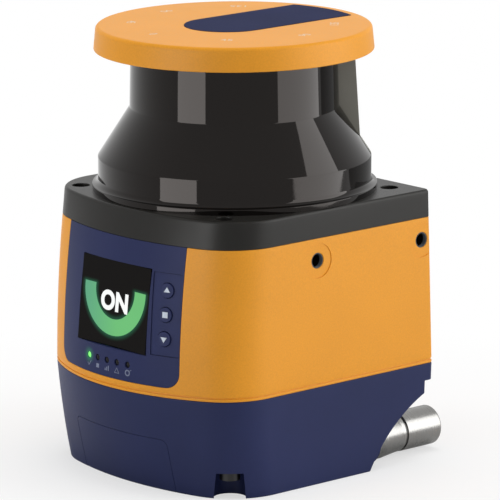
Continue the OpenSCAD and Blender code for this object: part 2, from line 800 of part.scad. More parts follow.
// ---- foot ----
floor_t = 3;
module arch(d) {
    translate([0, arch_y, arch_z]) rotate([0, 90, 0]) translate([0, 0, -far / 2])
        cylinder(r = arch_r + d, h = far, $fn = 128);
    box(-far / 2, far / 2, step_y - d, far, -far / 2, step_z + d);
}
module foot_cavity() {
    difference() {
        loft(concat(
            [[floor_t, wall]],
            steps(8, split_z - 2, 4, wall),
            [[split_z + 1, wall, split_z - e]]
        ));
        arch(wall);
        at_foot_screws() {
            rod(foot_well_r + 2, 0, foot_well_h + 3);
            rod(boss_r, 0, split_z + 5);
        }
        for (p = spacer_at) translate(p) rod(3.5, 0, power_board_z);
    }
}
cover_gap = 0.1;
module cover_back() {
    loft([
        [-3, cover_t, 0],
        [6, cover_t],
        [11, cover_t],
        [15, cover_t],
        [cover_z + 3, cover_t, cover_z + 2]
    ]);
}
module cover_pocket(grow) {
    intersection() {
        difference() {
            loft([[-2, -1, 0], [8, -1], [15, -1], [cover_z + 2, -1]]);
            cover_back();
        }
        front_block(2 * (cover_x + grow), -5, cover_z + grow, 0, 2.5 + grow);
    }
}
module at_plugs() {
    for (s = side_x) at_plug(s) children();
}
module at_plug(s) {
    translate([s * plug_x, 0, plug_z]) rotate([-90, 0, 0]) children();
}
hub_seat_y = rear_y - 20.3;
plug_boss_y = rear_y - 31.3;
plug_boss_r = plug_r + 1.9;
shank_r = 3.8;
seal_ring_r = 6.1;
seal_ring_t = 0.8;
module base_housing() {
    color(blue)
        difference() {
            union() {
                difference() {
                    loft(concat([[0, 0.4, 0], [0.4, 0]], steps(6, split_z, 6, 0)));
                    foot_cavity();
                    arch(0);
                }
                intersection() {
                    at_plugs() rod(plug_boss_r, plug_boss_y, hub_seat_y);
                    box(-far, far, 0, far, 0.3, far);
                }
            }
            cover_pocket(cover_gap);
            box(-19, 19, -far, -30, 5, 15);
            at_foot_screws() {
                rod(foot_well_r, -1, foot_well_h);
                rod(foot_screw_r + gap, 0, split_z + 1);
            }
            for (p = spacer_at) translate(p) rod(stud_r, power_board_z - stud_l - 0.5, power_board_z + 1);
            at_plugs() {
                rod(shank_r + gap, 10, hub_seat_y + 1);
                rod(plug_boss_r, hub_seat_y, plug_end_y + 5);
                tube(seal_ring_r + seal_ring_t / 2, seal_ring_r - seal_ring_t / 2,
                    hub_seat_y - seal_ring_t, hub_seat_y + 1);
            }
        }
}
module base_front_cover() {
    color(blue)
        intersection() {
            difference() {
                loft([[0, 0.4, 0], [0.4, 0], [6, 0], [11, 0], [15, 0], [cover_z + 2, 0]]);
                cover_back();
            }
            front_block(2 * cover_x, -5, cover_z, 0, 2.5);
        }
}
foot_head_r = 3.5;
foot_head_h = 2.6;
module base_screws() {
    l = split_z + foot_thread_l - 1 - foot_well_h;
    color(steel) at_foot_screws() screw(foot_screw_r, l, foot_head_r, foot_head_h, foot_well_h, 1);
}

// ---- connectors ----
plug_groove_y = plug_end_y - plug_sleeve_l;
plug_seat_y = plug_end_y - plug_bore_l;
insert_body_l = 8;
plug_insert_r = plug_bore_r - 0.2;
hub_r = plug_r + 0.8;
hub_taper_l = 7.8;
nut_t = 3;
shank_end = plug_boss_y - nut_t - 1;
contact_r = 0.75;
hub_bore_r = 4;
nut_r = 5.6;
module connector_shell(s) {
    groove_r = plug_r - 0.7;
    neck_y = plug_groove_y - plug_groove;
    color(steel)
        at_plug(s)
            rotate_extrude($fn = 96)
                polygon([
                    [shank_r - 1, shank_end],
                    [shank_r, shank_end],
                    [shank_r, hub_seat_y],
                    [hub_r, hub_seat_y],
                    [hub_r, neck_y - 1.5 - hub_taper_l],
                    [plug_r - 0.1, neck_y - 1.5],
                    [plug_r - 0.1, neck_y],
                    [groove_r, neck_y],
                    [groove_r, plug_groove_y],
                    [plug_r, plug_groove_y],
                    [plug_r, plug_end_y - 1.2],
                    [plug_r - 0.35, plug_end_y - 0.4],
                    [plug_r - 0.9, plug_end_y],
                    [plug_bore_r + 0.3, plug_end_y],
                    [plug_bore_r, plug_end_y - 0.4],
                    [plug_bore_r, plug_seat_y],
                    [plug_insert_r, plug_seat_y],
                    [plug_insert_r, plug_seat_y - insert_body_l],
                    [hub_bore_r, plug_seat_y - insert_body_l],
                    [hub_bore_r, hub_seat_y + 2],
                    [shank_r - 1, hub_seat_y + 2]
                ]);
}
// Places of the contacts: n on a circle, and one in the middle if asked for
function contacts(n, r, middle) = concat(
    [for (i = [0:n - 1]) [r * cos(360 * i / n + 45), r * sin(360 * i / n + 45)]],
    middle ? [[0, 0]] : []
);
eight_pole = contacts(7, 2.75, true);
four_pole = contacts(4, 2.5, false);
module connector_insert(s, places) {
    color([0.1, 0.1, 0.1])
        at_plug(s)
            difference() {
                rod(plug_insert_r, plug_seat_y - insert_body_l, plug_seat_y);
                for (p = places) translate([p[0], p[1], 0])
                    rod(contact_r, plug_seat_y - insert_body_l - 1, plug_seat_y + 1);
                translate([0, plug_insert_r, 0]) rod(0.9, plug_seat_y - 4, plug_seat_y + 1);
            }
}
module contact_pins(s, places) {
    color([0.85, 0.7, 0.3])
        at_plug(s)
            for (p = places) translate([p[0], p[1], 0])
                tube(contact_r, 0.5, plug_seat_y - insert_body_l - 3, plug_seat_y - 0.4);
}
module connector_nuts() {
    color(steel)
        at_plugs()
            difference() {
                translate([0, 0, plug_boss_y - nut_t]) cylinder(r = nut_r, h = nut_t, $fn = 6);
                rod(shank_r, plug_boss_y - nut_t - 1, plug_boss_y + 1);
            }
}
module connector_seals() {
    color(black)
        at_plugs()
            tube(seal_ring_r + seal_ring_t / 2, seal_ring_r - seal_ring_t / 2,
                hub_seat_y - seal_ring_t, hub_seat_y);
}

// ---- motor and mirror ----
head_top = mirror_z + mirror_r + 1.5;
disc_t = 0.8;
bell_z = head_top + disc_t;
bell_t = 1.7;
bell_r = 19;
bell_h = 9.5;
tube_z = bell_z + bell_t + 0.3;
coil_r = 16;
motor_flange_t = 2.5;
lower_bearing_z = tube_z + 0.2;
upper_bearing_z = cap_z - 1.3 - bearing_h;
module motor_stator() {
    color([0.55, 0.38, 0.2])
        difference() {
            union() {
                rod(motor_flange_r, cap_z - motor_flange_t, cap_z);
                rod(bearing_r + 2, tube_z, cap_z);
                difference() {
                    rod(coil_r, tube_z + 1.7, tube_z + 7.7);
                    for (a = [0:40:320]) rotate([0, 0, a]) translate([coil_r - 1.5, 0, 0])
                        box(-3, 3, -0.6, 0.6, tube_z, cap_z - motor_flange_t);
                }
            }
            rod(bearing_r, tube_z - 1, cap_z + 1);
            for (a = motor_screw_at) rotate([0, 0, a]) translate([motor_screw_r, 0, 0])
                rod(1.25, cap_z - motor_flange_t - 1, cap_z + 1);
        }
}
module motor_rotor() {
    color(steel)
        union() {
            rod(bell_r, bell_z, bell_z + bell_t);
            tube(bell_r, bell_r - 1.2, bell_z, bell_z + bell_h);
            rod(shaft_r, head_top - 8, upper_bearing_z + bearing_h + 0.1);
        }
}
module rotor_magnet() {
    color([0.25, 0.25, 0.27])
        tube(bell_r - 1.2, coil_r + 0.5, bell_z + bell_t + 0.5, bell_z + bell_h - 0.5);
}
module bearing(z) {
    color(steel) tube(bearing_r, shaft_r + shaft_clear, z, z + bearing_h);
}
// Half-space behind the mirror's face, moved back by d
module behind_mirror(d) {
    translate([0, 0, mirror_z]) rotate([-45, 0, 0]) translate([-30, -60, d]) cube([60, 120, 60]);
}
module mirror_head() {
    color([0.2, 0.2, 0.2])
        difference() {
            intersection() {
                rod(mirror_r, mirror_z - mirror_r, head_top);
                behind_mirror(mirror_t);
            }
            rod(shaft_r, head_top - 8, head_top + 1);
        }
}
module scan_mirror() {
    color([0.9, 0.92, 0.95])
        difference() {
            intersection() {
                rod(mirror_r, mirror_z - mirror_r, head_top);
                behind_mirror(0);
            }
            behind_mirror(mirror_t);
        }
}
module encoder_disc() {
    color([0.7, 0.75, 0.8])
        difference() {
            tube(encoder_r, shaft_r, head_top, head_top + disc_t);
            for (a = [0:20:340]) rotate([0, 0, a]) box(encoder_r - 2.6, encoder_r - 0.8, -1, 1,
                head_top - 1, head_top + disc_t + 1);
        }
}
flex_y = pillar_in_r + 1.2 - flex_t;
module encoder_sensor() {
    color([0.1, 0.1, 0.1])
        difference() {
            box(-4, 4, encoder_r - 3, flex_y, head_top - 3, head_top + 4);
            box(-5, 5, encoder_r - 4, encoder_r + 1.2, head_top - 0.7, head_top + disc_t + 0.7);
        }
}
module pillar_flex() {
    color([0.75, 0.5, 0.2])
        box(-flex_w / 2, flex_w / 2, flex_y, flex_y + flex_t, main_board_z + board_t, cap_z - 1);
}

// ---- receiver ----
lens_seat_z = deck_z - deck_t - 1.5;
barrel_z = deck_z - 27.5;
barrel_screw_at = [60, 180, 300];
barrel_screw_r = barrel_r + 3.4;
barrel_flange_t = 3;
module lens_barrel() {
    top = deck_z - deck_t;
    color(black)
        difference() {
            union() {
                rod(barrel_r, barrel_z, deck_z + 0.8);
                rod(barrel_r + 6, top - barrel_flange_t, top);
            }
            rod(receiver_r - 1.2, barrel_z - 1, deck_z + 2);
            rod(receiver_r, lens_seat_z, deck_z + 2);
            for (a = barrel_screw_at) rotate([0, 0, a]) translate([barrel_screw_r, 0, 0])
                rod(1.4, top - barrel_flange_t - 1, top + 1);
        }
}
laser_r = 4;
lens_edge = 1.5;
lens_rise = 2.8;
module receiver_lens() {
    ball = (receiver_r * receiver_r + lens_rise * lens_rise) / (2 * lens_rise);
    color([0.35, 0.1, 0.1, 0.6])
        difference() {
            union() {
                rod(receiver_r, lens_seat_z, lens_seat_z + lens_edge);
                intersection() {
                    translate([0, 0, lens_seat_z + lens_edge + lens_rise - ball]) sphere(ball, $fn = 96);
                    rod(receiver_r, lens_seat_z + lens_edge, lens_seat_z + lens_edge + lens_rise + 1);
                }
            }
            rod(laser_r, lens_seat_z - 1, deck_z + 2);
        }
}
module laser_module() {
    color([0.7, 0.6, 0.3])
        difference() {
            rod(laser_r, lens_seat_z - 8, deck_z + 1.5);
            rod(2.5, deck_z - 2, deck_z + 3);
        }
}
board_t = 1.6;
module detector_board() {
    color(green_board)
        union() {
            rod(barrel_r, barrel_z - board_t, barrel_z);
            rod(3.5, barrel_z - e, barrel_z + 3);
            box(-6, 6, -4, 4, barrel_z - board_t - 2, barrel_z - board_t + e);
        }
}
module barrel_screws() {
    color(steel)
        for (a = barrel_screw_at) rotate([0, 0, a]) translate([barrel_screw_r, 0, 0])
            screw(1.25, 6, 2.3, 1.6, deck_z - deck_t - barrel_flange_t, 1);
}

// ---- boards in the body ----
power_board_z = floor_t + 11;
main_board_z = split_z + 15.5;
stud_r = 1.4;
stud_l = 5;
main_board_x = body_w / 2 - 11.7;
main_board_y = rear_y - 9.3;
power_board_x = body_w / 2 - 18.7;
spacer_x = power_board_x - 5;
spacer_at = [for (x = side_x) for (y = [-30, 8]) [x * spacer_x, y, 0]];
module main_board() {
    color(green_board)
        difference() {
            union() {
                box(-main_board_x, main_board_x, -36, main_board_y, main_board_z, main_board_z + board_t);
                box(-10, 10, -12, 8, main_board_z + board_t - e, main_board_z + board_t + 2.2);
                box(16, 30, 14, 28, main_board_z + board_t - e, main_board_z + board_t + 1.6);
                box(-30, -16, 12, 30, main_board_z + board_t - e, main_board_z + board_t + 5);
                box(-14, 14, 30, 33, main_board_z + board_t - e, main_board_z + board_t + 3);
            }
            for (p = spacer_at) translate(p) rod(1.5, main_board_z - 1, main_board_z + board_t + 1);
        }
}
module power_board() {
    color(green_board)
        difference() {
            union() {
                box(-power_board_x, power_board_x, -38, 12, power_board_z, power_board_z + board_t);
                box(-12, 8, -24, -8, power_board_z + board_t - e, power_board_z + board_t + 9);
                for (x = [14, 20]) translate([x, -16, 0])
                    rod(2.5, power_board_z + board_t - e, power_board_z + board_t + 11);
            }
            for (p = spacer_at) translate(p) rod(1.5, power_board_z - 1, power_board_z + board_t + 1);
        }
}
module board_spacers() {
    color(steel)
        for (p = spacer_at) translate(p)
            union() {
                translate([0, 0, power_board_z + board_t])
                    cylinder(r = 2.9, h = main_board_z - power_board_z - board_t, $fn = 6);
                rod(stud_r, power_board_z - stud_l, power_board_z + board_t + e);
                rod(stud_r, main_board_z - e, main_board_z + board_t + 2);
            }
}

top_cap();
top_label();
cap_screws();
top_plate();
plate_screws();
window_monitor_board();
scan_window();
window_seal();
head_frame();
head_screws();
head_gasket();
main_housing();
side_inserts();
front_panel();
display_window();
display_module();
display_board();
keypad_strip();
key(1);  // key_up
key(0);  // key_select
key(-1);  // key_down
key_switches();
keypad_board();
run_lens();
status_lenses();
base_gasket();
base_housing();
base_front_cover();
base_screws();
connector_shell(1);  // connector_shell_right
connector_shell(-1);  // connector_shell_left
connector_insert(1, eight_pole);  // connector_insert_right
connector_insert(-1, four_pole);  // connector_insert_left
contact_pins(1, eight_pole);  // contact_pins_right
contact_pins(-1, four_pole);  // contact_pins_left
connector_nuts();
connector_seals();
motor_stator();
motor_rotor();
rotor_magnet();
bearing(lower_bearing_z);  // lower_bearing
bearing(upper_bearing_z);  // upper_bearing
mirror_head();
scan_mirror();
encoder_disc();
encoder_sensor();
pillar_flex();
lens_barrel();
receiver_lens();
laser_module();
detector_board();
barrel_screws();
main_board();
power_board();
board_spacers();
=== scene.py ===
# %% [markdown]
# # A safety laser scanner, dressed in Blender
#
# The solid model of the scanner comes from CAD and is loaded as a fixed frame.
# This lesson builds the visible shells again with finer curves, gives every
# part a procedural finish, and sets up a small studio around them. All sizes
# are in metres, +Z is up, and the display looks along -Y.

# %% Load the CAD frame
import json
import math

import bmesh
import bpy
from mathutils import Matrix, Vector


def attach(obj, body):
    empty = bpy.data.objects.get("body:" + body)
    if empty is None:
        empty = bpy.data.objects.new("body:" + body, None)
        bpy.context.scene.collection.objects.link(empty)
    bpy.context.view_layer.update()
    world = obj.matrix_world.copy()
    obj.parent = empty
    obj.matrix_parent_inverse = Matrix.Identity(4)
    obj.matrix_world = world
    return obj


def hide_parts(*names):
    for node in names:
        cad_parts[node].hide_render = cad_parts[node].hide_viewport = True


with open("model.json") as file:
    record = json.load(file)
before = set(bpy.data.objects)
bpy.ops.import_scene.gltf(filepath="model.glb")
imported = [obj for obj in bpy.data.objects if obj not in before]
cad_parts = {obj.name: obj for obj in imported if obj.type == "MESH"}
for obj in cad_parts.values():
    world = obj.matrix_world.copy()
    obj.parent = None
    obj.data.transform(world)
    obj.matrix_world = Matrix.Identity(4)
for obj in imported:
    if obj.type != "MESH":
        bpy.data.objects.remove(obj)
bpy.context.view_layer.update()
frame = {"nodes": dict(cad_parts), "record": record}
nodes = frame["nodes"]
MM = 0.001


def polar(radius, degrees):
    """x and y of a place at an angle round the mirror's axis."""
    angle = math.radians(degrees)
    return radius * math.cos(angle), radius * math.sin(angle)


def shift(x, y, z):
    """Matrix that moves by a distance in millimetres."""
    return Matrix.Translation(Vector((x, y, z)) * MM)


def twist(angle, axis):
    """Matrix that turns about an axis."""
    return Matrix.Rotation(angle, 4, axis)


# %% [markdown]
# ## The studio
#
# The camera stands far away with a long lens, a little above the scanner, so
# its upright edges stay nearly parallel. Its direction is written as an
# azimuth round the scanner and an elevation above the floor, as one would
# describe the place of a tripod.

# %% Camera
CAMERA_AZIMUTH = math.radians(48.675)
CAMERA_ELEVATION = math.radians(12.535)
CAMERA_ROLL = math.radians(-0.31)
CAMERA_PLACE = (1221.335, -1067.137, 433.564)
camera_data = bpy.data.cameras.new("studio_camera")
camera_data.lens = 347.32
camera_data.sensor_width = 36
camera_data.clip_start = 0.05
camera_data.clip_end = 20
camera = bpy.data.objects.new("studio_camera", camera_data)
camera.matrix_world = (
    shift(*CAMERA_PLACE) @ twist(CAMERA_AZIMUTH, "Z")
    @ twist(math.pi / 2 - CAMERA_ELEVATION, "X") @ twist(CAMERA_ROLL, "Z")
)
bpy.context.scene.collection.objects.link(camera)
bpy.context.scene.camera = camera
print("camera distance in mm:", round(Vector(CAMERA_PLACE).length))

# %% [markdown]
# Two kinds of lamp light the scanner. Large soft lamps give the even light on
# the paint and stay out of reflections. Two bright cards stand beside the
# scanner and are seen only by glossy surfaces: a polished dark window is
# almost invisible until something bright is mirrored in it, so the cards draw
# its form with crisp pale stripes.

# %% Lamps
LAMP_TARGET = (0, 0, 0.08)


def area_lamp(name, place, target, width, height, energy):
    """A flat lamp aimed at a target, out of the camera's sight."""
    data = bpy.data.lights.new(name, "AREA")
    data.shape = "RECTANGLE"
    data.size, data.size_y, data.energy = width, height, energy
    lamp = bpy.data.objects.new(name, data)
    lamp.location = place
    lamp.rotation_mode = "QUATERNION"
    lamp.rotation_quaternion = (Vector(target) - Vector(place)).to_track_quat("-Z", "Y")
    lamp.visible_camera = False
    bpy.context.scene.collection.objects.link(lamp)
    return lamp


def soft_lamp(name, place, size, power):
    """A big lamp that reflections don't show."""
    area_lamp(name, place, LAMP_TARGET, size, size, power).visible_glossy = False


def bright_card(name, azimuth, distance, high, half_width, glow):
    """An upright lit card on the floor that only glossy surfaces see."""
    place = (*polar(distance, azimuth), high / 2)
    width = 2 * half_width
    card = area_lamp(name, place, (0, 0, high / 2), width, high, glow * math.pi * width * high)
    card.visible_diffuse = False


soft_lamp("front_lamp", (-0.95, -0.9, 0.5), 0.6, 5.9)
soft_lamp("side_lamp", (0.98, 0.76, 0.45), 0.6, 5.8)
soft_lamp("top_lamp", (0.1, 0.1, 1.3), 0.8, 7.4)
bright_card("front_card", -87.5, 0.45, 0.34, 0.128, 5.4)
bright_card("side_card", 34.0, 0.5, 0.53, 0.265, 4.0)

# %% [markdown]
# ## Writing a material as an expression
#
# A procedural finish is a small calculation done at every point of a surface:
# some noise, a threshold, a mix of two colours. `Wire` wraps one output of a
# node and lets Python's own operators add the Math nodes.

# %% Wires
finishes = {}


class Wire:
    """One output of a node, usable in arithmetic."""

    def __init__(self, finish, socket):
        self.finish = finish
        self.socket = socket

    def _math(self, operation, other):
        return self.finish.node("ShaderNodeMath", {"operation": operation}, {0: self, 1: other})

    def __add__(self, other):
        return self._math("ADD", other)

    def __sub__(self, other):
        return self._math("SUBTRACT", other)

    def __mul__(self, other):
        return self._math("MULTIPLY", other)

    def __gt__(self, other):
        return self._math("GREATER_THAN", other)


print("wires can be added, subtracted, multiplied and compared")

# %% [markdown]
# `Finish` holds one material and makes every other node. Its methods add what
# comes up again and again: coordinates, noise, ranges, mixes, relief, light
# paths and a painted glow.

# %% Finishes
class Finish:
    """One material: constants on its shader, and nodes for what varies."""

    def __init__(self, name, **constants):
        self.material = bpy.data.materials.new(name)
        self.material.use_nodes = True
        self.tree = self.material.node_tree
        self.shader = self.tree.nodes["Principled BSDF"]
        for words, value in constants.items():
            socket = self.shader.inputs[words.replace("_", " ").title().replace("Ior", "IOR")]
            socket.default_value = (*value, 1) if isinstance(value, tuple) else value
        finishes[name] = self.material

    def node(self, kind, settings=None, inputs=None, output=0):
        """Adds a node; its inputs take wires or plain values."""
        made = self.tree.nodes.new(kind)
        for key, value in (settings or {}).items():
            setattr(made, key, value)
        for key, value in (inputs or {}).items():
            if isinstance(value, Wire):
                self.tree.links.new(value.socket, made.inputs[key])
            else:
                made.inputs[key].default_value = value
        return Wire(self, made.outputs[output])

    def place(self, stretch=(1, 1, 1), turn=(0, 0, 0), centre=(0, 0, 0)):
        """Object coordinates, stretched and turned."""
        raw = self.node("ShaderNodeTexCoord", output="Object")
        return self.node(
            "ShaderNodeMapping", {"vector_type": "POINT"},
            {"Vector": raw, "Location": centre, "Rotation": turn, "Scale": stretch},
        )

    def distance(self, where):
        """How far a place is from the centre of its coordinates."""
        return self.node("ShaderNodeVectorMath", {"operation": "LENGTH"}, {0: where}, output="Value")

    def noise(self, scale, detail=2.0, where=None, rough=0.5):
        return self.node(
            "ShaderNodeTexNoise", None,
            {"Vector": where or self.place(), "Scale": scale, "Detail": detail, "Roughness": rough},
        )

    def range(self, value, low, high, to_low=0, to_high=1):
        return self.node(
            "ShaderNodeMapRange", {"clamp": True},
            {"Value": value, "From Min": low, "From Max": high, "To Min": to_low, "To Max": to_high},
        )

    def mix(self, factor, first, second):
        first, second = (c if isinstance(c, Wire) else (*c, 1) for c in (first, second))
        return self.node(
            "ShaderNodeMix", {"data_type": "RGBA"}, {0: factor, 6: first, 7: second}, output=2
        )

    def tones(self, factor, colour, first, second):
        """One colour at two brightnesses, mixed by a wire."""
        return self.mix(factor, *(tuple(min(1, c * k) for c in colour) for k in (first, second)))

    def ray(self, kind):
        """One where a ray of this kind looks at the surface, and zero elsewhere."""
        return self.node("ShaderNodeLightPath", output="Is " + kind + " Ray")

    def bump(self, height, depth, strength):
        """Relief from a wire, its depth in millimetres."""
        inputs = {"Height": height, "Distance": depth * MM, "Strength": strength}
        return self.node("ShaderNodeBump", None, inputs)

    def feed(self, **wires):
        """Leads wires into the shader's own inputs."""
        for words, wire in wires.items():
            self.tree.links.new(wire.socket, self.shader.inputs[words.replace("_", " ").title()])

    def glow(self, near, colour):
        """Painted light: emission of a colour that falls off with the square of a wire."""
        self.shader.inputs["Emission Strength"].default_value = 1.0
        self.feed(emission_color=self.mix(near * near, (0, 0, 0), colour))


def shade_of(red, green, blue):
    """Linear colour of a screen colour given in 0 to 255."""
    def linear(v):
        v /= 255
        return v / 12.92 if v <= 0.04045 else ((v + 0.055) / 1.055) ** 2.4
    return (linear(red), linear(green), linear(blue))


print("shader helpers ready")

# %% [markdown]
# ## The coatings and plastics
#
# The housing and the cap are die cast and powder coated: an amber yellow with
# a fine stipple that the light catches. The stipple is noise of about half a
# millimetre fed to a bump, and the same noise moves the colour and roughness a
# little, as a real coat does where it lies thicker.

# %% Amber coating
def coating(name, colour, grain, depth):
    f = Finish(name, roughness=0.48, specular_ior_level=0.2, sheen_weight=0.12, sheen_roughness=0.3)
    stipple = f.noise(1 / (grain * MM), 3.0, rough=0.6)
    cloud = f.noise(35, 2.0)
    tone = f.tones(f.range(stipple * 0.7 + cloud * 0.3, 0.35, 0.65), colour, 0.93, 1.05)
    gloss = f.range(stipple, 0.3, 0.7, 0.42, 0.56)
    f.feed(base_color=tone, roughness=gloss, normal=f.bump(stipple, depth, 0.5))


AMBER = shade_of(228, 152, 36)
coating("yellow_paint", AMBER, 0.55, 0.035)
print("amber:", [round(c, 3) for c in AMBER])

# %% [markdown]
# The foot, the front panel and the plate on the cap are moulded in navy blue
# plastic with a satin, spark-eroded skin. The collar is the same kind of
# moulding in charcoal. One recipe makes all of them: a base colour, a fine
# grain, and faint large clouds, which stand for flow marks in the mould.

# %% Satin mouldings
def moulding(name, colour, rough, grain, depth, spread=0.12, specular=0.14):
    f = Finish(name, roughness=rough, specular_ior_level=specular)
    skin = f.noise(1 / (grain * MM), 4.0, rough=0.65)
    cloud = f.noise(28, 3.0)
    patches = f.range(cloud * 0.6 + skin * 0.4, 0.35, 0.65)
    tone = f.tones(patches, colour, 1 - spread, 1 + spread)
    gloss = f.range(skin, 0.3, 0.7, rough - 0.05, rough + 0.06)
    f.feed(base_color=tone, roughness=gloss, normal=f.bump(skin, depth, 0.4))
    return f


NAVY = shade_of(36, 43, 80)
moulding("blue_plastic", NAVY, 0.42, 0.4, 0.02)
panel_skin_with_painted_glow = moulding("panel_blue_with_painted_glow", shade_of(43, 49, 85), 0.4, 0.4, 0.02, specular=0.07)
moulding("key_blue", shade_of(40, 47, 86), 0.4, 0.4, 0.015, specular=0.08)
moulding("head_black", shade_of(34, 33, 31), 0.34, 0.35, 0.03, 0.1, 0.14)
# Painted light: the pillar is cast in one with the charcoal collar, and this much lighter grey stands
# in for light on it where it sits in shade behind the window.
moulding("pillar_grey_painted_light", shade_of(132, 130, 122), 0.5, 0.35, 0.03, 0.1, 0.2)
moulding("black_plastic", shade_of(38, 38, 38), 0.45, 0.3, 0.02)
moulding("rubber_black", shade_of(34, 34, 34), 0.8, 0.25, 0.03, 0.15, 0.2)
moulding("plate_blue", shade_of(37, 42, 72), 0.6, 0.4, 0.01, specular=0.02)
print("mouldings:", sorted(finishes))

# %% [markdown]
# ## The window
#
# The scan window is polished plastic that lets only infrared light through, so
# it looks a warm black. Its refractive index is set low, because a coated
# window mirrors little when seen straight on, and its roughness is nearly
# zero. Very faint, wide ripples from moulding keep the stripes alive.

# %% Polished window
def polished(name, colour, rough, index, ripple):
    f = Finish(name, roughness=rough, ior=index, specular_tint=(1.0, 0.92, 0.88))
    wave = f.noise(45, 1.0)
    haze = f.noise(180, 4.0, rough=0.7)
    tone = f.tones(haze, colour, 0.85, 1.15)
    gloss = f.range(haze, 0.4, 0.75, rough * 0.7, rough * 1.6)
    f.feed(base_color=tone, roughness=gloss, normal=f.bump(wave, ripple, 0.5))
    return f


polished("window_black", (0.0022, 0.0015, 0.0012), 0.035, 1.31, 0.03)
display_glass_finish = polished("display_black", (0.0025, 0.0020, 0.0018), 0.05, 1.15, 0.005)
polished("lens_dark", (0.002, 0.0025, 0.004), 0.12, 1.25, 0.01)
print("glossy finishes done")

# %% [markdown]
# ## Metals
#
# Turned parts carry fine rings from the lathe. The rings are noise stretched
# along the surface: very fine along the turning axis, very coarse round it.
# The connectors are turned about Y, the screws, bearings and the motor bell
# about Z.

# %% Turned and plated metal
def turned(name, colour, rough, axis, ring=0.12, depth=0.004):
    f = Finish(name, metallic=1.0, roughness=rough)
    stretch = [30, 30, 30]
    stretch["XYZ".index(axis)] = 1 / (ring * MM)
    rings = f.noise(1.0, 3.0, f.place(tuple(stretch)), 0.6)
    stain = f.noise(90, 3.0)
    tone = f.tones(f.range(stain, 0.3, 0.7), colour, 0.88, 1)
    gloss = f.range(rings * 0.7 + stain * 0.3, 0.3, 0.7, rough - 0.07, rough + 0.1)
    f.feed(base_color=tone, roughness=gloss, normal=f.bump(rings, depth, 0.6))


# Painted shade: the nickel is made far darker than plated nickel, standing in for the darker
# surroundings that the sleeves mirror.
turned("connector_nickel", (0.25, 0.247, 0.238), 0.25, "Y")
turned("screw_steel", (0.42, 0.42, 0.40), 0.36, "Z")
# Near-black steel for the foot's screws: painted shade for the dark wells they sit in.
turned("screw_black_painted_shade", (0.035, 0.035, 0.035), 0.4, "Z")
turned("insert_steel", (0.04, 0.045, 0.05), 0.42, "X")
turned("bearing_steel", (0.60, 0.60, 0.59), 0.25, "Z")
turned("contact_gold", (0.80, 0.58, 0.22), 0.28, "Y")
turned("magnet_grey", (0.16, 0.16, 0.17), 0.5, "Z", 0.3, 0.01)
turned("mirror_silver", (0.90, 0.92, 0.94), 0.06, "X", 0.2, 0.001)
print("metals done")

# %% [markdown]
# ## Parts that are hidden in use
#
# The circuit boards get copper tracks under green lacquer, made from a stepped
# grid, and the coils get the ribs of wound wire. The receiving lens is deep
# red and the flexible cable is amber film with printed lines.

# %% Boards, coils, lens and flexible cable
board_green = Finish("board_green", roughness=0.35, specular_ior_level=0.5)
where = board_green.place()
tracks = board_green.node(
    "ShaderNodeTexBrick", {"offset": 0.35, "squash": 1.6},
    {"Vector": where, "Scale": 260, "Mortar Size": 0.035, "Mortar Smooth": 0.1,
     "Brick Width": 0.9, "Row Height": 0.35}, output="Fac",
)
patches = board_green.noise(60, 2.0, where)
lacquer = board_green.mix(patches, (0.006, 0.07, 0.028), (0.012, 0.11, 0.045))
copper = board_green.mix(tracks * 0.8, lacquer, (0.05, 0.26, 0.09))
board_green.feed(base_color=copper, normal=board_green.bump(tracks, 0.02, 0.5))

coil_copper = Finish("coil_copper", metallic=0.7, roughness=0.35)
turns = coil_copper.node(
    "ShaderNodeTexWave", {"bands_direction": "Z"},
    {"Vector": coil_copper.place(), "Scale": 900, "Distortion": 0.4, "Detail": 1.0}, output="Fac",
)
enamel = coil_copper.mix(turns, (0.16, 0.05, 0.02), (0.55, 0.24, 0.09))
coil_copper.feed(base_color=enamel, normal=coil_copper.bump(turns, 0.05, 0.7))

lens_glass = Finish("lens_glass", roughness=0.04, coat_weight=0.4)
cloud = lens_glass.noise(70, 1.0)
lens_glass.feed(base_color=lens_glass.mix(cloud, (0.10, 0.004, 0.008), (0.2, 0.01, 0.015)))

flex_amber = Finish("flex_amber", roughness=0.3)
lines = flex_amber.node(
    "ShaderNodeTexWave", {"bands_direction": "X"},
    {"Vector": flex_amber.place(), "Scale": 420, "Distortion": 0.0}, output="Fac",
)
flex_amber.feed(base_color=flex_amber.mix(lines > 0.6, (0.42, 0.17, 0.03), (0.62, 0.30, 0.07)))
print("inner finishes done")

# %% [markdown]
# ## Lit surfaces and prints
#
# The display's picture and the running lens give light of their own. A real
# display is a grid of tiny cells and is brighter in the middle of each stroke,
# so a fine cell pattern and a soft cloud modulate the emission. The marks on
# the keys and the cap are thin pad prints.

# %% Lights and prints
def lit(name, colour, strength, cell=0.25, cooler=None):
    f = Finish(name, roughness=0.3, base_color=tuple(c * 0.05 for c in colour), specular_ior_level=0.1)
    f.shader.inputs["Emission Strength"].default_value = strength
    grid = f.node(
        "ShaderNodeTexChecker", None, {"Vector": f.place(), "Scale": 1 / (cell * MM)}, output="Fac"
    )
    cloud = f.noise(70, 2.0)
    glow = f.tones(grid * 0.08 + cloud * 0.25, colour, 1, 0.75)
    if cooler:
        across = f.node("ShaderNodeSeparateXYZ", None, {0: f.place()}, output="X")
        glow = f.mix(f.range(across, -14 * MM, 2 * MM, 0.85, 0), glow, cooler)
    f.feed(emission_color=glow)


def print_ink(name, colour, rough=0.5):
    f = Finish(name, roughness=rough, specular_ior_level=0.3)
    wear = f.noise(900, 3.0, rough=0.7)
    f.feed(base_color=f.tones(f.range(wear, 0.35, 0.7), colour, 1, 0.8))


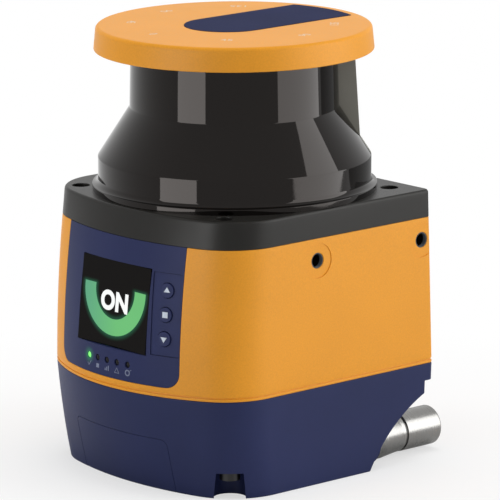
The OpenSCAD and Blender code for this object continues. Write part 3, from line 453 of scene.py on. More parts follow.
lit("glow_green", shade_of(108, 190, 118), 1.0, cooler=shade_of(88, 158, 128))
lit("glow_white", (0.95, 0.97, 0.96), 1.0)
lit("run_green", (0.25, 1.0, 0.22), 1.1)
print_ink("key_print", shade_of(205, 215, 228))
print_ink("cap_print", shade_of(228, 205, 180))
print_ink("icon_print", shade_of(118, 126, 152))
print("finishes:", len(finishes))

# %% [markdown]
# ## Modelling helpers
#
# The shells are modelled the way one works by hand: add a primitive, go to
# edit mode, move its points, extrude, close, and cut with booleans. A cut
# shape is called a tool here. Every finished piece keeps its object at the
# origin, with its place in its mesh.

# %% Primitives and booleans
def deselect():
    bpy.ops.object.select_all(action="DESELECT")


def only(piece):
    """Makes a piece the one selected, active object."""
    if bpy.context.object and bpy.context.object.mode != "OBJECT":
        bpy.ops.object.mode_set(mode="OBJECT")
    deselect()
    piece.select_set(True)
    bpy.context.view_layer.objects.active = piece


def named(name):
    """Names the object just added and bakes its place into its mesh."""
    piece = bpy.context.object
    piece.name = name
    piece.data.name = name
    bpy.ops.object.transform_apply(location=True, rotation=True, scale=True)
    return piece


def block(x0, x1, y0, y1, z0, z1, name="tool"):
    deselect()
    middle = ((x0 + x1) / 2 * MM, (y0 + y1) / 2 * MM, (z0 + z1) / 2 * MM)
    bpy.ops.mesh.primitive_cube_add(size=1, location=middle)
    bpy.context.object.scale = ((x1 - x0) * MM, (y1 - y0) * MM, (z1 - z0) * MM)
    return named(name)


def rod(radius, start, end, sides=96, name="tool"):
    """Cylinder between two points in millimetres."""
    deselect()
    a, b = Vector(start) * MM, Vector(end) * MM
    bpy.ops.mesh.primitive_cylinder_add(
        vertices=sides, radius=radius * MM, depth=(b - a).length, location=(a + b) / 2,
        rotation=(b - a).to_track_quat("Z", "Y").to_euler(),
    )
    return named(name)


def carried(piece, matrix):
    """Moves the mesh of a piece, and leaves its object at the origin."""
    piece.data.transform(matrix)
    return piece


def combine(piece, tool, operation="DIFFERENCE"):
    """Boolean with a tool, applied at once; the tool is used up."""
    only(piece)
    cut = piece.modifiers.new("cut", "BOOLEAN")
    cut.operation = operation
    cut.solver = "EXACT"
    cut.object = tool
    bpy.ops.object.modifier_apply(modifier=cut.name)
    bpy.data.objects.remove(tool)
    return piece


def bore(piece, radius, x, y, low, high, sides=96):
    """Cuts an upright round hole between two heights."""
    return combine(piece, rod(radius, (x, y, low), (x, y, high), sides))


print("primitives, places and booleans are ready")

# %% [markdown]
# Edges and faces are picked by where they lie. Once a piece has its form,
# `dress` cleans its mesh and gives it its shading, its finish and its body.

# %% Picking, softening and dressing
def outwards():
    """Turns every face outwards and leaves edit mode."""
    bpy.ops.mesh.select_all(action="SELECT")
    bpy.ops.mesh.normals_make_consistent(inside=False)
    bpy.ops.object.mode_set(mode="OBJECT")


def pick(kind, test):
    """In edit mode, selects just the verts, edges or faces that pass a test."""
    bpy.ops.mesh.select_mode(type={"verts": "VERT", "edges": "EDGE", "faces": "FACE"}[kind])
    bpy.ops.mesh.select_all(action="DESELECT")
    mesh = bmesh.from_edit_mesh(bpy.context.object.data)
    found = 0
    for item in getattr(mesh, kind):
        if test(item):
            item.select_set(True)
            found += 1
    mesh.select_flush_mode()
    bmesh.update_edit_mesh(bpy.context.object.data)
    return found


def middle(edge):
    return (edge.verts[0].co + edge.verts[1].co) / 2 / MM


def soften(piece, width, test, steps=2, sharper=0.6):
    """Bevels the sharp edges whose middle, in millimetres, passes a test."""
    only(piece)
    bpy.ops.object.mode_set(mode="EDIT")
    count = pick("edges", lambda e: e.calc_face_angle(0) > sharper and test(middle(e)))
    if count:
        bpy.ops.mesh.bevel(offset=width * MM, segments=steps, affect="EDGES", clamp_overlap=True)
    bpy.ops.object.mode_set(mode="OBJECT")
    return count


def dress(piece, finish, body="scanner", smooth=35, stands_for=()):
    """Last steps for a piece: clean mesh, shading, material and its body."""
    only(piece)
    bpy.ops.object.mode_set(mode="EDIT")
    bpy.ops.mesh.select_all(action="SELECT")
    bpy.ops.mesh.remove_doubles(threshold=0.000002)
    outwards()
    bpy.ops.object.shade_smooth_by_angle(angle=math.radians(smooth))
    even = piece.modifiers.new("even", "WEIGHTED_NORMAL")
    even.keep_sharp = True
    bpy.ops.object.modifier_apply(modifier=even.name)
    piece.data.materials.clear()
    piece.data.materials.append(finishes[finish])
    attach(piece, body)
    if stands_for:
        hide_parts(*stands_for)
    print(piece.name, len(piece.data.polygons), "faces")
    return piece


print("ready to dress pieces in", len(finishes), "finishes")

# %% [markdown]
# ## The body's form
#
# Foot, housing, collar and front panel share one outline: flat sides, a
# shallow bow in front, and large round corners where the two meet. The bow
# swells and leans with height, so the outline is a function of height. A ring
# of points is fitted to it, and `stack` extrudes that ring from level to
# level, as one would pull up a clay wall.

# %% Outline of the body
SPLIT, COLLAR, DECK = 34.5, 85.9, 95.5
WALL = 3.5
SHOULDER, CORNER, REAR_CORNER = 40.0, 21.5, 2.0


def half_width(z):
    return 47.9 + 1.8 * z / SPLIT if z < SPLIT else 49.7 - 0.6 * (z - SPLIT) / (DECK - SPLIT)


def rear(z):
    return 47.3 if z < SPLIT else 47.3 - 1.3 * (z - SPLIT) / (DECK - SPLIT)


def reach(z):
    """How far the front stands before the axis at a height."""
    if z < SPLIT:
        t = z / SPLIT
        return 50 + 8.2 * t + 3.2 * t * (1 - t)
    if z < COLLAR:
        t = (z - SPLIT) / (COLLAR - SPLIT)
        return 58.2 - 5.8 * t + 5.6 * t * (1 - t)
    return 52.4 - 1.9 * (z - COLLAR) / (DECK - COLLAR)


def bow(z):
    """Radius of the bowed front, and the place of its centre."""
    sag = reach(z) - SHOULDER
    radius = (half_width(z) ** 2 + sag ** 2) / (2 * sag)
    return radius, radius - reach(z)


def front(x, z, depth=0.0):
    radius, centre = bow(z)
    return centre - math.sqrt((radius - depth) ** 2 - x * x)


def arc_points(cx, cy, radius, start, end, steps):
    for i in range(steps):
        angle = start + (end - start) * i / steps
        yield (cx + radius * math.cos(angle), cy + radius * math.sin(angle))


def outline(z, inset=0.0):
    """Ring of points round the body at a height, drawn in by inset."""
    w, b = half_width(z), rear(z)
    radius, centre = bow(z)
    cx = w - CORNER
    cy = centre - math.sqrt((radius - CORNER) ** 2 - cx * cx)
    end = math.atan2(cy - centre, cx)
    small = max(REAR_CORNER - inset, 0.05)
    rx = w - inset - small
    ry = b - inset - small
    half = []
    half += [(rx * i / 8, b - inset) for i in range(8)]
    half += arc_points(rx, ry, small, math.pi / 2, 0, 4)
    half += [(w - inset, ry + (cy - ry) * i / 14) for i in range(14)]
    half += arc_points(cx, cy, CORNER - inset, 0, end, 18)
    half += arc_points(0, centre, radius - inset, end, -math.pi / 2, 30)
    tip = (0, centre - radius + inset)
    left = [(-x, y) for x, y in half]
    return left + [tip] + half[:0:-1]


print("points in a ring:", len(outline(50)))

# %% [markdown]
# `stack` starts from a circle primitive with as many points as the outline,
# moves its points onto the first level, and then extrudes the open ring up
# from level to level. A level is a height, an inset, and optionally the height
# whose outline it takes. The last ring is closed with a face, or bridged back
# to the first ring to make a wall that is open at both ends.

# %% Stack levels into a shell
def place_ring(level, before=None):
    z, inset, form = (level + (level[0],))[:3]
    ring = [Vector((x * MM, y * MM, z * MM)) for x, y in outline(form, inset)]
    mesh = bmesh.from_edit_mesh(bpy.context.object.data)
    picked = [v for v in mesh.verts if v.select]
    if before is None:
        step = 2 * math.pi / len(ring)
        for v in picked:
            from_back = (math.atan2(v.co.y, v.co.x) - math.pi / 2) % (2 * math.pi)
            v.co = ring[round(from_back / step) % len(ring)]
    else:
        spots = {tuple(round(c * 1e6) for c in p): i for i, p in enumerate(before)}
        for v in picked:
            key = tuple(round(c * 1e6) for c in v.co)
            i = spots.get(key)
            if i is None:
                i = min(range(len(before)), key=lambda k: (before[k] - v.co).length_squared)
            v.co = ring[i]
    bmesh.update_edit_mesh(bpy.context.object.data)
    return ring


def stack(levels, name="tool", open_ends=False):
    deselect()
    bpy.ops.mesh.primitive_circle_add(vertices=len(outline(50)), radius=0.05)
    piece = named(name)
    bpy.ops.object.mode_set(mode="EDIT")
    bpy.ops.mesh.select_all(action="SELECT")
    if not open_ends:
        bpy.ops.mesh.edge_face_add()
        bpy.ops.mesh.select_all(action="SELECT")
    ring = place_ring(levels[0])
    bpy.ops.mesh.select_mode(type="EDGE")
    for level in levels[1:]:
        bpy.ops.mesh.extrude_edges_move(TRANSFORM_OT_translate={"value": (0, 0, 0)})
        ring = place_ring(level, ring)
    if open_ends:
        bpy.ops.mesh.select_all(action="DESELECT")
        pick("edges", lambda e: len(e.link_faces) < 2)
        bpy.ops.mesh.bridge_edge_loops()
    else:
        bpy.ops.mesh.edge_face_add()
    outwards()
    return piece


def rising(low, high, count, inset=0.0):
    """Evenly spaced levels that follow the outline."""
    return [(low + (high - low) * i / count, inset) for i in range(count + 1)]


print("rising from 0 to 8 mm in four steps:", [z for z, inset in rising(0, 8, 4)])

# %% [markdown]
# ## The foot
#
# The foot is one blue moulding. Its outline tapers to the floor, a big arch is
# cut out of its rear for the cables, and four wells in its underside hold the
# screws that clamp it to the housing. It is stacked as a block, hollowed with
# a smaller stack, and cut with plain cylinders and boxes.

# %% Foot
FOOT_SCREWS = [(x, y) for x in (-40.3, 40.3) for y in (-38.2, 2.0)]
ARCH_Y, ARCH_Z, ARCH_R = 65.5, -23.1, 52.0
STEP_Y, STEP_Z = 43.3, 28.4
PLUG_X, PLUG_Z, HUB_SEAT, HUB_R = 36.0, 7.9, 27.0, 8.8
WELL_R, WELL_TOP = 5.6, 9.2


def arch_tools(grow):
    yield rod(ARCH_R + grow, (-80, ARCH_Y, ARCH_Z), (80, ARCH_Y, ARCH_Z), 160)
    yield block(-80, 80, STEP_Y - grow, 90, -40, STEP_Z + grow)


foot = stack(
    [(0, 0.45, 0), (0.12, 0.15, 0), (0.45, 0)] + rising(4, SPLIT - 0.5, 9)
    + [(SPLIT - 0.15, 0.08), (SPLIT, 0.3)], "foot_shell"
)
hollow = stack([(3, WALL)] + rising(8, SPLIT - 2, 4, WALL) + [(SPLIT + 1, WALL, SPLIT)])
for cut in arch_tools(WALL):
    combine(hollow, cut)
for x, y in FOOT_SCREWS:
    bore(hollow, WELL_R + 2, x, y, -1, WELL_TOP + 3)
    bore(hollow, 4.6, x, y, 5, 40)
combine(foot, hollow)
for cut in arch_tools(0):
    combine(foot, cut)
for side in (-1, 1):
    x = side * PLUG_X
    boss = rod(HUB_R, (x, 16, PLUG_Z), (x, HUB_SEAT, PLUG_Z))
    combine(boss, block(-80, 80, 0, 60, -5, 0.3))
    combine(foot, boss, "UNION")
    combine(foot, rod(HUB_R, (x, HUB_SEAT, PLUG_Z), (x, 63, PLUG_Z)))
    combine(foot, rod(3.95, (x, 10, PLUG_Z), (x, 28, PLUG_Z)))
for x, y in FOOT_SCREWS:
    bore(foot, WELL_R, x, y, -1, WELL_TOP)
    bore(foot, 2.1, x, y, 8, 40, 32)
print("foot faces:", len(foot.data.polygons))

# %% [markdown]
# The small cover in the front of the foot follows the same skin. A prism with
# two rounded corners marks it out: the part of the skin inside the prism is
# the cover, and a slightly larger prism cuts its seat, so that an even dark
# seam stays between them.

# %% Front cover and its seat
COVER_X, COVER_Z, SKIN = 23.6, 19.0, 2.0


def prism(x, low, high, low_round, high_round):
    """Upright rounded rectangle seen from the front, pushed along Y."""
    piece = block(-x, x, -90, -20, low, high, "prism")
    bpy.ops.object.mode_set(mode="EDIT")
    for edge_z, radius in ((low, low_round), (high, high_round)):
        if radius:
            pick("edges", lambda e: abs(middle(e).z - edge_z) < 0.01
                 and abs(abs(middle(e).x) - x) < 0.01)
            bpy.ops.mesh.bevel(offset=radius * MM, segments=10, affect="EDGES")
    bpy.ops.object.mode_set(mode="OBJECT")
    return piece


def foot_skin(inset):
    return stack([(-6, inset, 0), (0, inset, 0)] + rising(3, 24, 7, inset))


cover = prism(COVER_X, -3, COVER_Z, 0, 2.5)
combine(cover, stack([(0, 0.45, 0), (0.45, 0)] + rising(4, 24, 6)), "INTERSECT")
combine(cover, foot_skin(SKIN))
seat = prism(COVER_X + 0.14, -3, COVER_Z + 0.14, 0, 2.64)
combine(seat, foot_skin(SKIN))
combine(foot, seat)
cover.name = "front_cover"
soften(cover, 0.3, lambda p: p.y < front(p.x, max(p.z, 0), 1.2) and p.z > 1)
soften(foot, 0.3, lambda p: abs(abs(p.x) - COVER_X) < 0.4 and p.z < 17
       and p.y < front(p.x, max(p.z, 0), 0.4))
soften(foot, 0.3, lambda p: abs(p.x) < COVER_X + 0.3 and 16 < p.z < 19.5
       and p.y < front(p.x, p.z, 0.4))
soften(foot, 0.5, lambda p: p.y > 15 and abs(p.x) > half_width(p.z) - 0.6 and p.z > 0.6)
dress(foot, "blue_plastic", stands_for=["base_housing"])
dress(cover, "blue_plastic", stands_for=["base_front_cover"])

# %% [markdown]
# ## The housing
#
# The housing is an open ring of amber coated metal. Near its lower edge runs a
# narrow groove that leaves a bright lip above the foot. The side holes get a
# shallow turned flat, and the front a deep pocket for the blue panel.

# %% Housing
SIDE_Z = 78.2
SIDE_HOLES = [(s, y) for s in (-1, 1) for y in (-6.0, 42.0)]
SIDE_FACE = half_width(SIDE_Z) - 0.3
PANEL_X, PANEL_Z, PANEL_ROUND, SEAM = 30.3, 38.0, 5.0, 0.17

LIP = ((0.02, 0.22), (0.12, 0.06), (0.28, 0), (0.8, 0), (0.95, 0.08),
       (1.0, 0.32), (1.45, 0.36), (1.55, 0.1), (1.75, 0))
housing = stack(
    [(SPLIT + up, inset) for up, inset in LIP] + rising(SPLIT + 3.5, COLLAR - 0.5, 18)
    + [(COLLAR - 0.12, 0.05), (COLLAR, 0.2), (COLLAR, WALL)]
    + rising(COLLAR - 3, SPLIT + 3, 6, WALL) + [(SPLIT + 0.02, WALL)],
    "housing_shell", open_ends=True,
)


def body_skin(inset):
    return stack(rising(PANEL_Z - 2, COLLAR + 2, 16, inset))


for side, y in SIDE_HOLES:
    x = side * SIDE_FACE
    boss = rod(6, (x - side * 0.5, y, SIDE_Z), (x - side * 11, y, SIDE_Z))
    combine(housing, combine(boss, body_skin(1.0), "INTERSECT"), "UNION")
    combine(housing, rod(6, (x + side * 3, y, SIDE_Z), (x, y, SIDE_Z)))
    combine(housing, rod(2.7, (x + side, y, SIDE_Z), (x - side * 2, y, SIDE_Z), 64))
    combine(housing, rod(4.7, (x - side * 1.5, y, SIDE_Z), (x - side * 9.3, y, SIDE_Z), 64))

pocket = prism(PANEL_X + SEAM, PANEL_Z - SEAM, COLLAR + 5, PANEL_ROUND + SEAM, 0)
combine(pocket, body_skin(SKIN))
combine(housing, pocket)
combine(housing, block(-22, 30, -90, -30, 41.2, 81))
soften(housing, 0.35, lambda p: p.z > PANEL_Z - 1 and p.y < front(p.x, p.z, 0.5)
       and (abs(abs(p.x) - PANEL_X) < 0.5 or p.z < PANEL_Z + 5.5) and p.z < COLLAR - 0.3)
soften(housing, 0.3, lambda p: abs(abs(p.x) - SIDE_FACE) < 0.05
       and any(math.hypot(p.y - y, p.z - SIDE_Z) < 3 for s, y in SIDE_HOLES))
soften(housing, 0.22, lambda p: abs(p.x) > SIDE_FACE + 0.15
       and any(abs(math.hypot(p.y - y, p.z - SIDE_Z) - 6) < 0.1 for s, y in SIDE_HOLES))
dress(housing, "yellow_paint", stands_for=["main_housing"])

# %% [markdown]
# ## The front panel
#
# The panel is a blue skin that fills the pocket. The display and the key strip
# need openings in it. The key strip stands on its own axes, turned with the
# bowed skin at the keys, so a matrix carries shapes into its place.

# %% Places on the panel
SCREEN_W, SCREEN_H, SCREEN_Z = 35.6, 29.6, 62.7
SCREEN_LEAN = math.radians(6.4)
SCREEN_Y = front(SCREEN_W / 2, SCREEN_Z)
KEY_X, KEY_Z, KEY_PITCH, KEY_R = 24.6, 62.7, 8.2, 2.5
KEY_TURN = math.radians(17.5)
key_rise = front(KEY_X, KEY_Z + KEY_PITCH) - front(KEY_X, KEY_Z - KEY_PITCH)
KEY_TILT = math.atan(key_rise / (2 * KEY_PITCH))
LENS_Z, LENS_PITCH, LENS_R = 43.7, 5.0, 1.1
STRIP_W, STRIP_H, STRIP_IN, STRIP_T = 11.0, 28.0, 0.3, 0.9

at_screen = shift(0, SCREEN_Y, SCREEN_Z) @ twist(-SCREEN_LEAN, "X")


def at_key(i):
    z = KEY_Z + i * KEY_PITCH
    return shift(KEY_X, front(KEY_X, z), z) @ twist(KEY_TURN, "Z") @ twist(-KEY_TILT, "X")


print("key tilt in degrees:", round(math.degrees(KEY_TILT), 2))

# %% Panel and key strip
panel = prism(PANEL_X, PANEL_Z, COLLAR - 0.05, PANEL_ROUND, 0)
combine(panel, body_skin(0.0), "INTERSECT")
combine(panel, body_skin(SKIN))
screen_w, screen_h = SCREEN_W / 2, SCREEN_H / 2
combine(panel, carried(block(-screen_w, screen_w, -10, 10, -screen_h, screen_h), at_screen))


def strip_prism(grow):
    w, h = STRIP_W / 2 + grow, STRIP_H / 2 + grow
    return carried(block(-w, w, -10, 12, -h, h, "strip"), at_key(0))


strip_seat = strip_prism(0.12)
combine(strip_seat, body_skin(STRIP_IN + STRIP_T))
combine(panel, strip_seat)
key_strip = strip_prism(0)
combine(key_strip, body_skin(STRIP_IN), "INTERSECT")
combine(key_strip, body_skin(STRIP_IN + STRIP_T))
key_strip.name = "key_strip"
for i in (-1, 0, 1):
    combine(key_strip, carried(rod(KEY_R + 0.2, (0, -5, 0), (0, 8, 0), 64), at_key(i)))
    combine(panel, carried(rod(KEY_R + 0.95, (0, -5, 0), (0, 8, 0), 64), at_key(i)))
for i in range(-2, 3):
    x = i * LENS_PITCH
    combine(panel, rod(LENS_R + 0.04, (x, -75, LENS_Z), (x, -40, LENS_Z), 40))
panel.name = "panel_skin"
soften(panel, 0.3, lambda p: p.y < front(p.x, p.z, 0.9)
       and (abs(p.x) > PANEL_X - 1 or p.z < PANEL_Z + 5.2))
soften(panel, 0.4, lambda p: p.y < front(p.x, p.z, 0.25) and abs(p.x) < screen_w + 0.2
       and 47 < p.z < 78 and (abs(p.x) > screen_w - 0.3 or p.z < 50 or p.z > 75))
soften(key_strip, 0.25, lambda p: True)
dress(panel, "panel_blue_with_painted_glow", stands_for=["front_panel"])
dress(key_strip, "key_blue", stands_for=["keypad_strip"])

# %% [markdown]
# ## Turned and ring-shaped pieces
#
# `spun` works like a potter's wheel: the points of a circle primitive are
# moved onto a closed profile, and the spin tool carries that profile round the
# Z axis. `eased` first rounds the corners of a profile with small arcs, because
# no moulded or turned edge is perfectly sharp.

# %% Profiles and spinning
def eased(corners, steps=4):
    """Closed profile from (radius, height, rounding) corners."""
    points = []
    for i, (x, y, rounding) in enumerate(corners):
        corner = Vector((x, y))
        if not rounding:
            points.append((x, y))
            continue
        before = (Vector(corners[i - 1][:2]) - corner).normalized()
        after = (Vector(corners[(i + 1) % len(corners)][:2]) - corner).normalized()
        half = before.angle(after) / 2
        centre = corner + (before + after).normalized() * rounding / math.sin(half)
        first = corner + before * rounding / math.tan(half) - centre
        last = corner + after * rounding / math.tan(half) - centre
        for k in range(steps + 1):
            spoke = (first.lerp(last, k / steps)).normalized() * rounding
            points.append(tuple(centre + spoke))
    return points


def spun(profile, name="tool", start=0.0, sweep=360.0, steps=192):
    """Solid or ring from a closed profile of (radius, height) points."""
    deselect()
    bpy.ops.mesh.primitive_circle_add(vertices=len(profile), radius=0.05)
    piece = named(name)
    bpy.ops.object.mode_set(mode="EDIT")
    mesh = bmesh.from_edit_mesh(piece.data)
    mesh.verts.ensure_lookup_table()
    along = Vector((*polar(1, start), 0))
    for v, (radius, height) in zip(mesh.verts, profile):
        v.co = (along * radius + Vector((0, 0, height))) * MM
    bmesh.update_edit_mesh(piece.data)
    bpy.ops.mesh.select_all(action="SELECT")
    bpy.ops.mesh.spin(steps=steps, angle=math.radians(sweep), center=(0, 0, 0), axis=(0, 0, -1))
    bpy.ops.mesh.select_all(action="SELECT")
    bpy.ops.mesh.remove_doubles(threshold=0.000001)
    if sweep < 360:
        for at in (start, start + sweep):
            side = Vector((*polar(1, at + 90), 0))
            pick("edges", lambda e: len(e.link_faces) < 2 and abs(middle(e).dot(side)) < 0.01)
            bpy.ops.mesh.edge_face_add()
    bpy.ops.mesh.select_all(action="SELECT")
    bpy.ops.mesh.delete_loose(use_verts=True, use_edges=True, use_faces=False)
    outwards()
    return piece


def fused(pieces, name):
    """Joins separate closed shells into one object."""
    only(pieces[0])
    for other in pieces[1:]:
        other.select_set(True)
    bpy.ops.object.join()
    pieces[0].name = name
    pieces[0].data.name = name
    return pieces[0]


print("points of an eased square:", len(eased([(0, 0, 1), (9, 0, 1), (9, 9, 1), (0, 9, 1)])))

# %% [markdown]
# The side holes are tapped. Steel thread rings line them near the mouth, and
# their zigzag profile is spun like every other turned part.

# %% Thread rings in the side holes
rings = []
for side, y in SIDE_HOLES:
    zigzag = [(2.3 + 0.2 * (k % 2), 1.66 - 0.17 * k) for k in range(9)]
    ring = spun([(2.66, 0.3), (2.66, 1.7), *zigzag], "ring", steps=64)
    rings.append(carried(ring, shift(side * SIDE_FACE, y, SIDE_Z) @ twist(-side * math.pi / 2, "Y")))
dress(fused(rings, "insert_threads"), "insert_steel", smooth=20)

# %% [markdown]
# ## The collar and the pillar
#
# The collar closes the housing and carries the head. Behind the window a
# pillar rises from it to the cap. It covers the sector that the scanner
# doesn't look at, and its back follows the form of the window.

# %% Collar and pillar
DRUM, NECK, CAP_LOW, TOP = 106.8, 123.9, 143.8, 152.0
SCREW_PITCH = 37.5
COLLAR_SCREWS = [(x, y) for x in (-SCREW_PITCH, SCREW_PITCH) for y in (-SCREW_PITCH, SCREW_PITCH)]

collar = stack(
    [(COLLAR, 0.15), (COLLAR + 0.15, 0)] + rising(COLLAR + 1, DECK - 1.1, 6)
    + [(DECK - 0.75, 0.04), (DECK - 0.45, 0.17), (DECK - 0.2, 0.38),
       (DECK - 0.06, 0.62), (DECK, 0.9)],
    "collar_shell",
)
under = stack([(COLLAR - 1, WALL, COLLAR), (DECK - 4, WALL)])
for x, y in COLLAR_SCREWS:
    bore(under, 4.6, x, y, 70, 100)
combine(collar, under)
pillar = spun(eased([
    (33.6, DECK - 0.3, 0), (46.9, DECK - 0.3, 0), (46.9, DRUM, 0.6), (43, DRUM + 6.06, 2.0),
    (41.2, CAP_LOW, 0), (33.6, CAP_LOW, 0),
]), "pillar", 47.5, 85.0, 64)
combine(collar, rod(18.15, (0, 0, 70), (0, 0, 120), 128))
groove = [(46.3, DECK - 0.8), (47.5, DECK - 0.8), (47.5, DECK + 0.1), (46.3, DECK + 0.1)]
combine(collar, spun(groove))
for x, y in COLLAR_SCREWS:
    bore(collar, 3, x, y, DECK - 6, DECK + 1, 64)
    bore(collar, 1.65, x, y, 70, DECK - 5, 32)
for angle in (72, 108):
    bore(pillar, 1.5, *polar(37.4, angle), CAP_LOW - 8, CAP_LOW + 1, 32)
combine(collar, block(-7, 7, 31.6, 34.8, COLLAR - 1, DECK + 1))
combine(pillar, block(-7, 7, 31.6, 34.8, COLLAR - 1, CAP_LOW + 1))
soften(collar, 0.35, lambda p: abs(p.z - DECK) < 0.05
       and abs(math.hypot(abs(p.x) - SCREW_PITCH, abs(p.y) - SCREW_PITCH) - 3) < 0.1)
soften(pillar, 0.4, lambda p: p.z < CAP_LOW - 0.1 and p.z > DECK and math.hypot(p.x, p.y) > 36)
dress(collar, "head_black", stands_for=["head_frame"])
# The pillar's lighter grey, against the collar it is cast with, is painted light.
dress(pillar, "pillar_grey_painted_light", stands_for=["head_frame"])

# %% [markdown]
# ## The scan window
#
# The window is one moulding: a flange, a flare, a short drum, a cone and a
# neck. The mirror inside looks out through it over 275 degrees, and the rest
# of the circle is open for the pillar, where only the flange runs on.

# %% Window
FLANGE_R = 48.9
arc = [polar(2, a) for a in (75, 60, 45, 30, 15, 0)]
flare = [(FLANGE_R - out, DECK + 4 - up, 0) for out, up in arc]
window = spun(eased([
    (44.4, DECK, 0), (FLANGE_R, DECK, 0), (FLANGE_R, DECK + 2, 0.3), *flare,
    (46.9, DRUM, 0.7), (35.9, NECK, 0.9), (35.4, CAP_LOW, 0),
    (32.9, CAP_LOW, 0), (33.4, NECK + 0.8, 0.5), (44.4, DRUM + 1.2, 0.5),
], 5), "window", 132.75, 274.5, 220)
ring = spun(eased([
    (47.05, DECK, 0), (FLANGE_R, DECK, 0), (FLANGE_R, DECK + 2, 0.3), (47.05, DECK + 2, 0),
]), "ring", 46.5, 87.0, 60)
window = fused([window, ring], "scan_window_shell")
dress(window, "window_black", smooth=40, stands_for=["scan_window"])

# %% [markdown]
# ## The cap
#
# The cap is a shallow lid with a rounded rim. A blue plate is let into its
# top; it starts with a round end and runs to the rear edge. Pale numbers round
# the top give the angle from the front in degrees.

# %% Cap and its plate
cap = spun(eased([
    (0, TOP - 2.6, 0), (45.4, TOP - 2.6, 0.4), (45.4, CAP_LOW, 0.2), (48, CAP_LOW, 0.35),
    (47.2, TOP, 1.4), (0, TOP, 0),
], 6), "cap_shell", steps=256)


def plate_form(grow, low, high):
    form = rod(14.7 + grow, (0, -3, low), (0, -3, high), 128)
    combine(form, block(-14.7 - grow, 14.7 + grow, -3, 60, low, high), "UNION")
    combine(form, rod(43.3 + grow, (0, 0, low - 1), (0, 0, high + 1), 256), "INTERSECT")
    return form


combine(cap, plate_form(0.15, TOP - 0.3, TOP + 1))
for angle in (15, 165, 270):
    x, y = polar(41.6, angle)
    combine(cap, rod(3.2, (x, y, CAP_LOW + 2.5), (x, y, TOP - 2.5), 48), "UNION")
    bore(cap, 1.25, x, y, CAP_LOW, TOP - 2.6, 32)
dress(cap, "yellow_paint", smooth=30, stands_for=["top_cap"])
plate = plate_form(0, TOP - 0.3, TOP + 0.15)
plate.name = "cap_plate"
soften(plate, 0.1, lambda p: p.z > TOP + 0.14)
dress(plate, "plate_blue", stands_for=["top_label"])


# %% Printed marks
def lettering(words, size, name, thick=0.03, bolder=0.0, spacing=1.0):
    """Flat words as a mesh in the XY plane, centred on the origin."""
    deselect()
    bpy.ops.object.text_add(location=(0, 0, 0))
    piece = bpy.context.object
    piece.data.body = words
    piece.data.size = size * MM
    piece.data.align_x = "CENTER"
    piece.data.align_y = "CENTER"
    piece.data.offset = bolder * MM
    piece.data.extrude = thick * MM / 2
    piece.data.space_character = spacing
    piece.data.resolution_u = 6
    bpy.ops.object.convert(target="MESH")
    piece = bpy.context.object
    piece.name = name
    piece.data.name = name
    return piece


marks = []
ANGLES = (
    ("0", -3.5, -33.2), ("45", 22.3, -22.6), ("90", 33.0, 2.9), ("135", 23.9, 24.8),
    ("135", -25.9, 25.1), ("90", -35.5, -0.2), ("45", -26.7, -23.4),
)
for words, x, y in ANGLES:
    mark = lettering(words, 4.4, "mark", 0.02, 0.03)
    facing = math.atan2(y, x) + math.pi / 2
    marks.append(carried(mark, shift(x, y, TOP + 0.008) @ twist(facing, "Z")))
dress(fused(marks, "cap_numbers"), "cap_print")

# %% [markdown]
# ## The display
#
# The glass stands a little behind the panel's edge and leans back with it. The
# picture is laid on it as thin shapes of light: a green bow, with a green glow
# painted on the glass round it, and the word ON, which stands for the released
# state.

# %% Display glass and its picture
def upright(matrix):
    """Carries a flat XY shape into the plane of the display, facing out."""
    return matrix @ twist(math.pi / 2, "X")


BOW_INNER, BOW_OUTER, BOW_TOP = 10.15, 15.75, 0.9
BOW_CENTRE = shift(0.2, 0, 67.5 - SCREEN_Z)
glass_w, glass_h = screen_w - 0.15, screen_h - 0.15
glass = carried(block(-glass_w, glass_w, 0, 1.1, -glass_h, glass_h, "display_glass"), at_screen)
soften(glass, 0.12, lambda p: True, 2)
dress(glass, "display_black", stands_for=["display_window"])


bow_plane = upright(at_screen @ BOW_CENTRE)
# Painted light: the glass itself gets a green emission, full beside the bow and fading within 2 mm
# round it and past its cut ends. It stands in for the glow the picture spills into the glass.
to_bow = bow_plane.inverted()
around_bow = display_glass_finish.place((1 / MM,) * 3, to_bow.to_euler(), to_bow.translation / MM)
above_bow = display_glass_finish.node("ShaderNodeSeparateXYZ", None, {0: around_bow}, output="Y")
off_bow = display_glass_finish.distance(around_bow) - (BOW_INNER + BOW_OUTER) / 2
half_bow = (BOW_OUTER - BOW_INNER) / 2
beside = display_glass_finish.range(off_bow * off_bow, half_bow ** 2, (half_bow + 2.0) ** 2, 1, 0)
below = display_glass_finish.range(above_bow, BOW_TOP, 2.4, 1, 0)
display_glass_finish.glow(beside * below, (0.012, 0.085, 0.045))

BOW_FILM = 0.03
bow_light = spun([
    (BOW_INNER, BOW_FILM), (BOW_OUTER, BOW_FILM), (BOW_OUTER, 2 * BOW_FILM), (BOW_INNER, 2 * BOW_FILM),
], "display_bow", steps=128)
combine(bow_light, block(-40, 40, BOW_TOP, 60, -5, 5))
dress(carried(bow_light, bow_plane), "glow_green")
word = lettering("ON", 8.8, "display_word", 0.03, 0.4, 1.04)
carried(word, upright(at_screen @ shift(0.35, -0.09, 63.1 - SCREEN_Z)))
dress(word, "glow_white")

# %% [markdown]
# ## Keys and status lights
#
# Each key cap is turned with a soft edge and a shallow dish, and rides on its
# own key body. Its mark, an arrow or a square, is printed in its middle. The
# row of five lenses under the display has a dome each; the first is lit, and a
# green glow painted on the panel round it stands in for the light it throws.

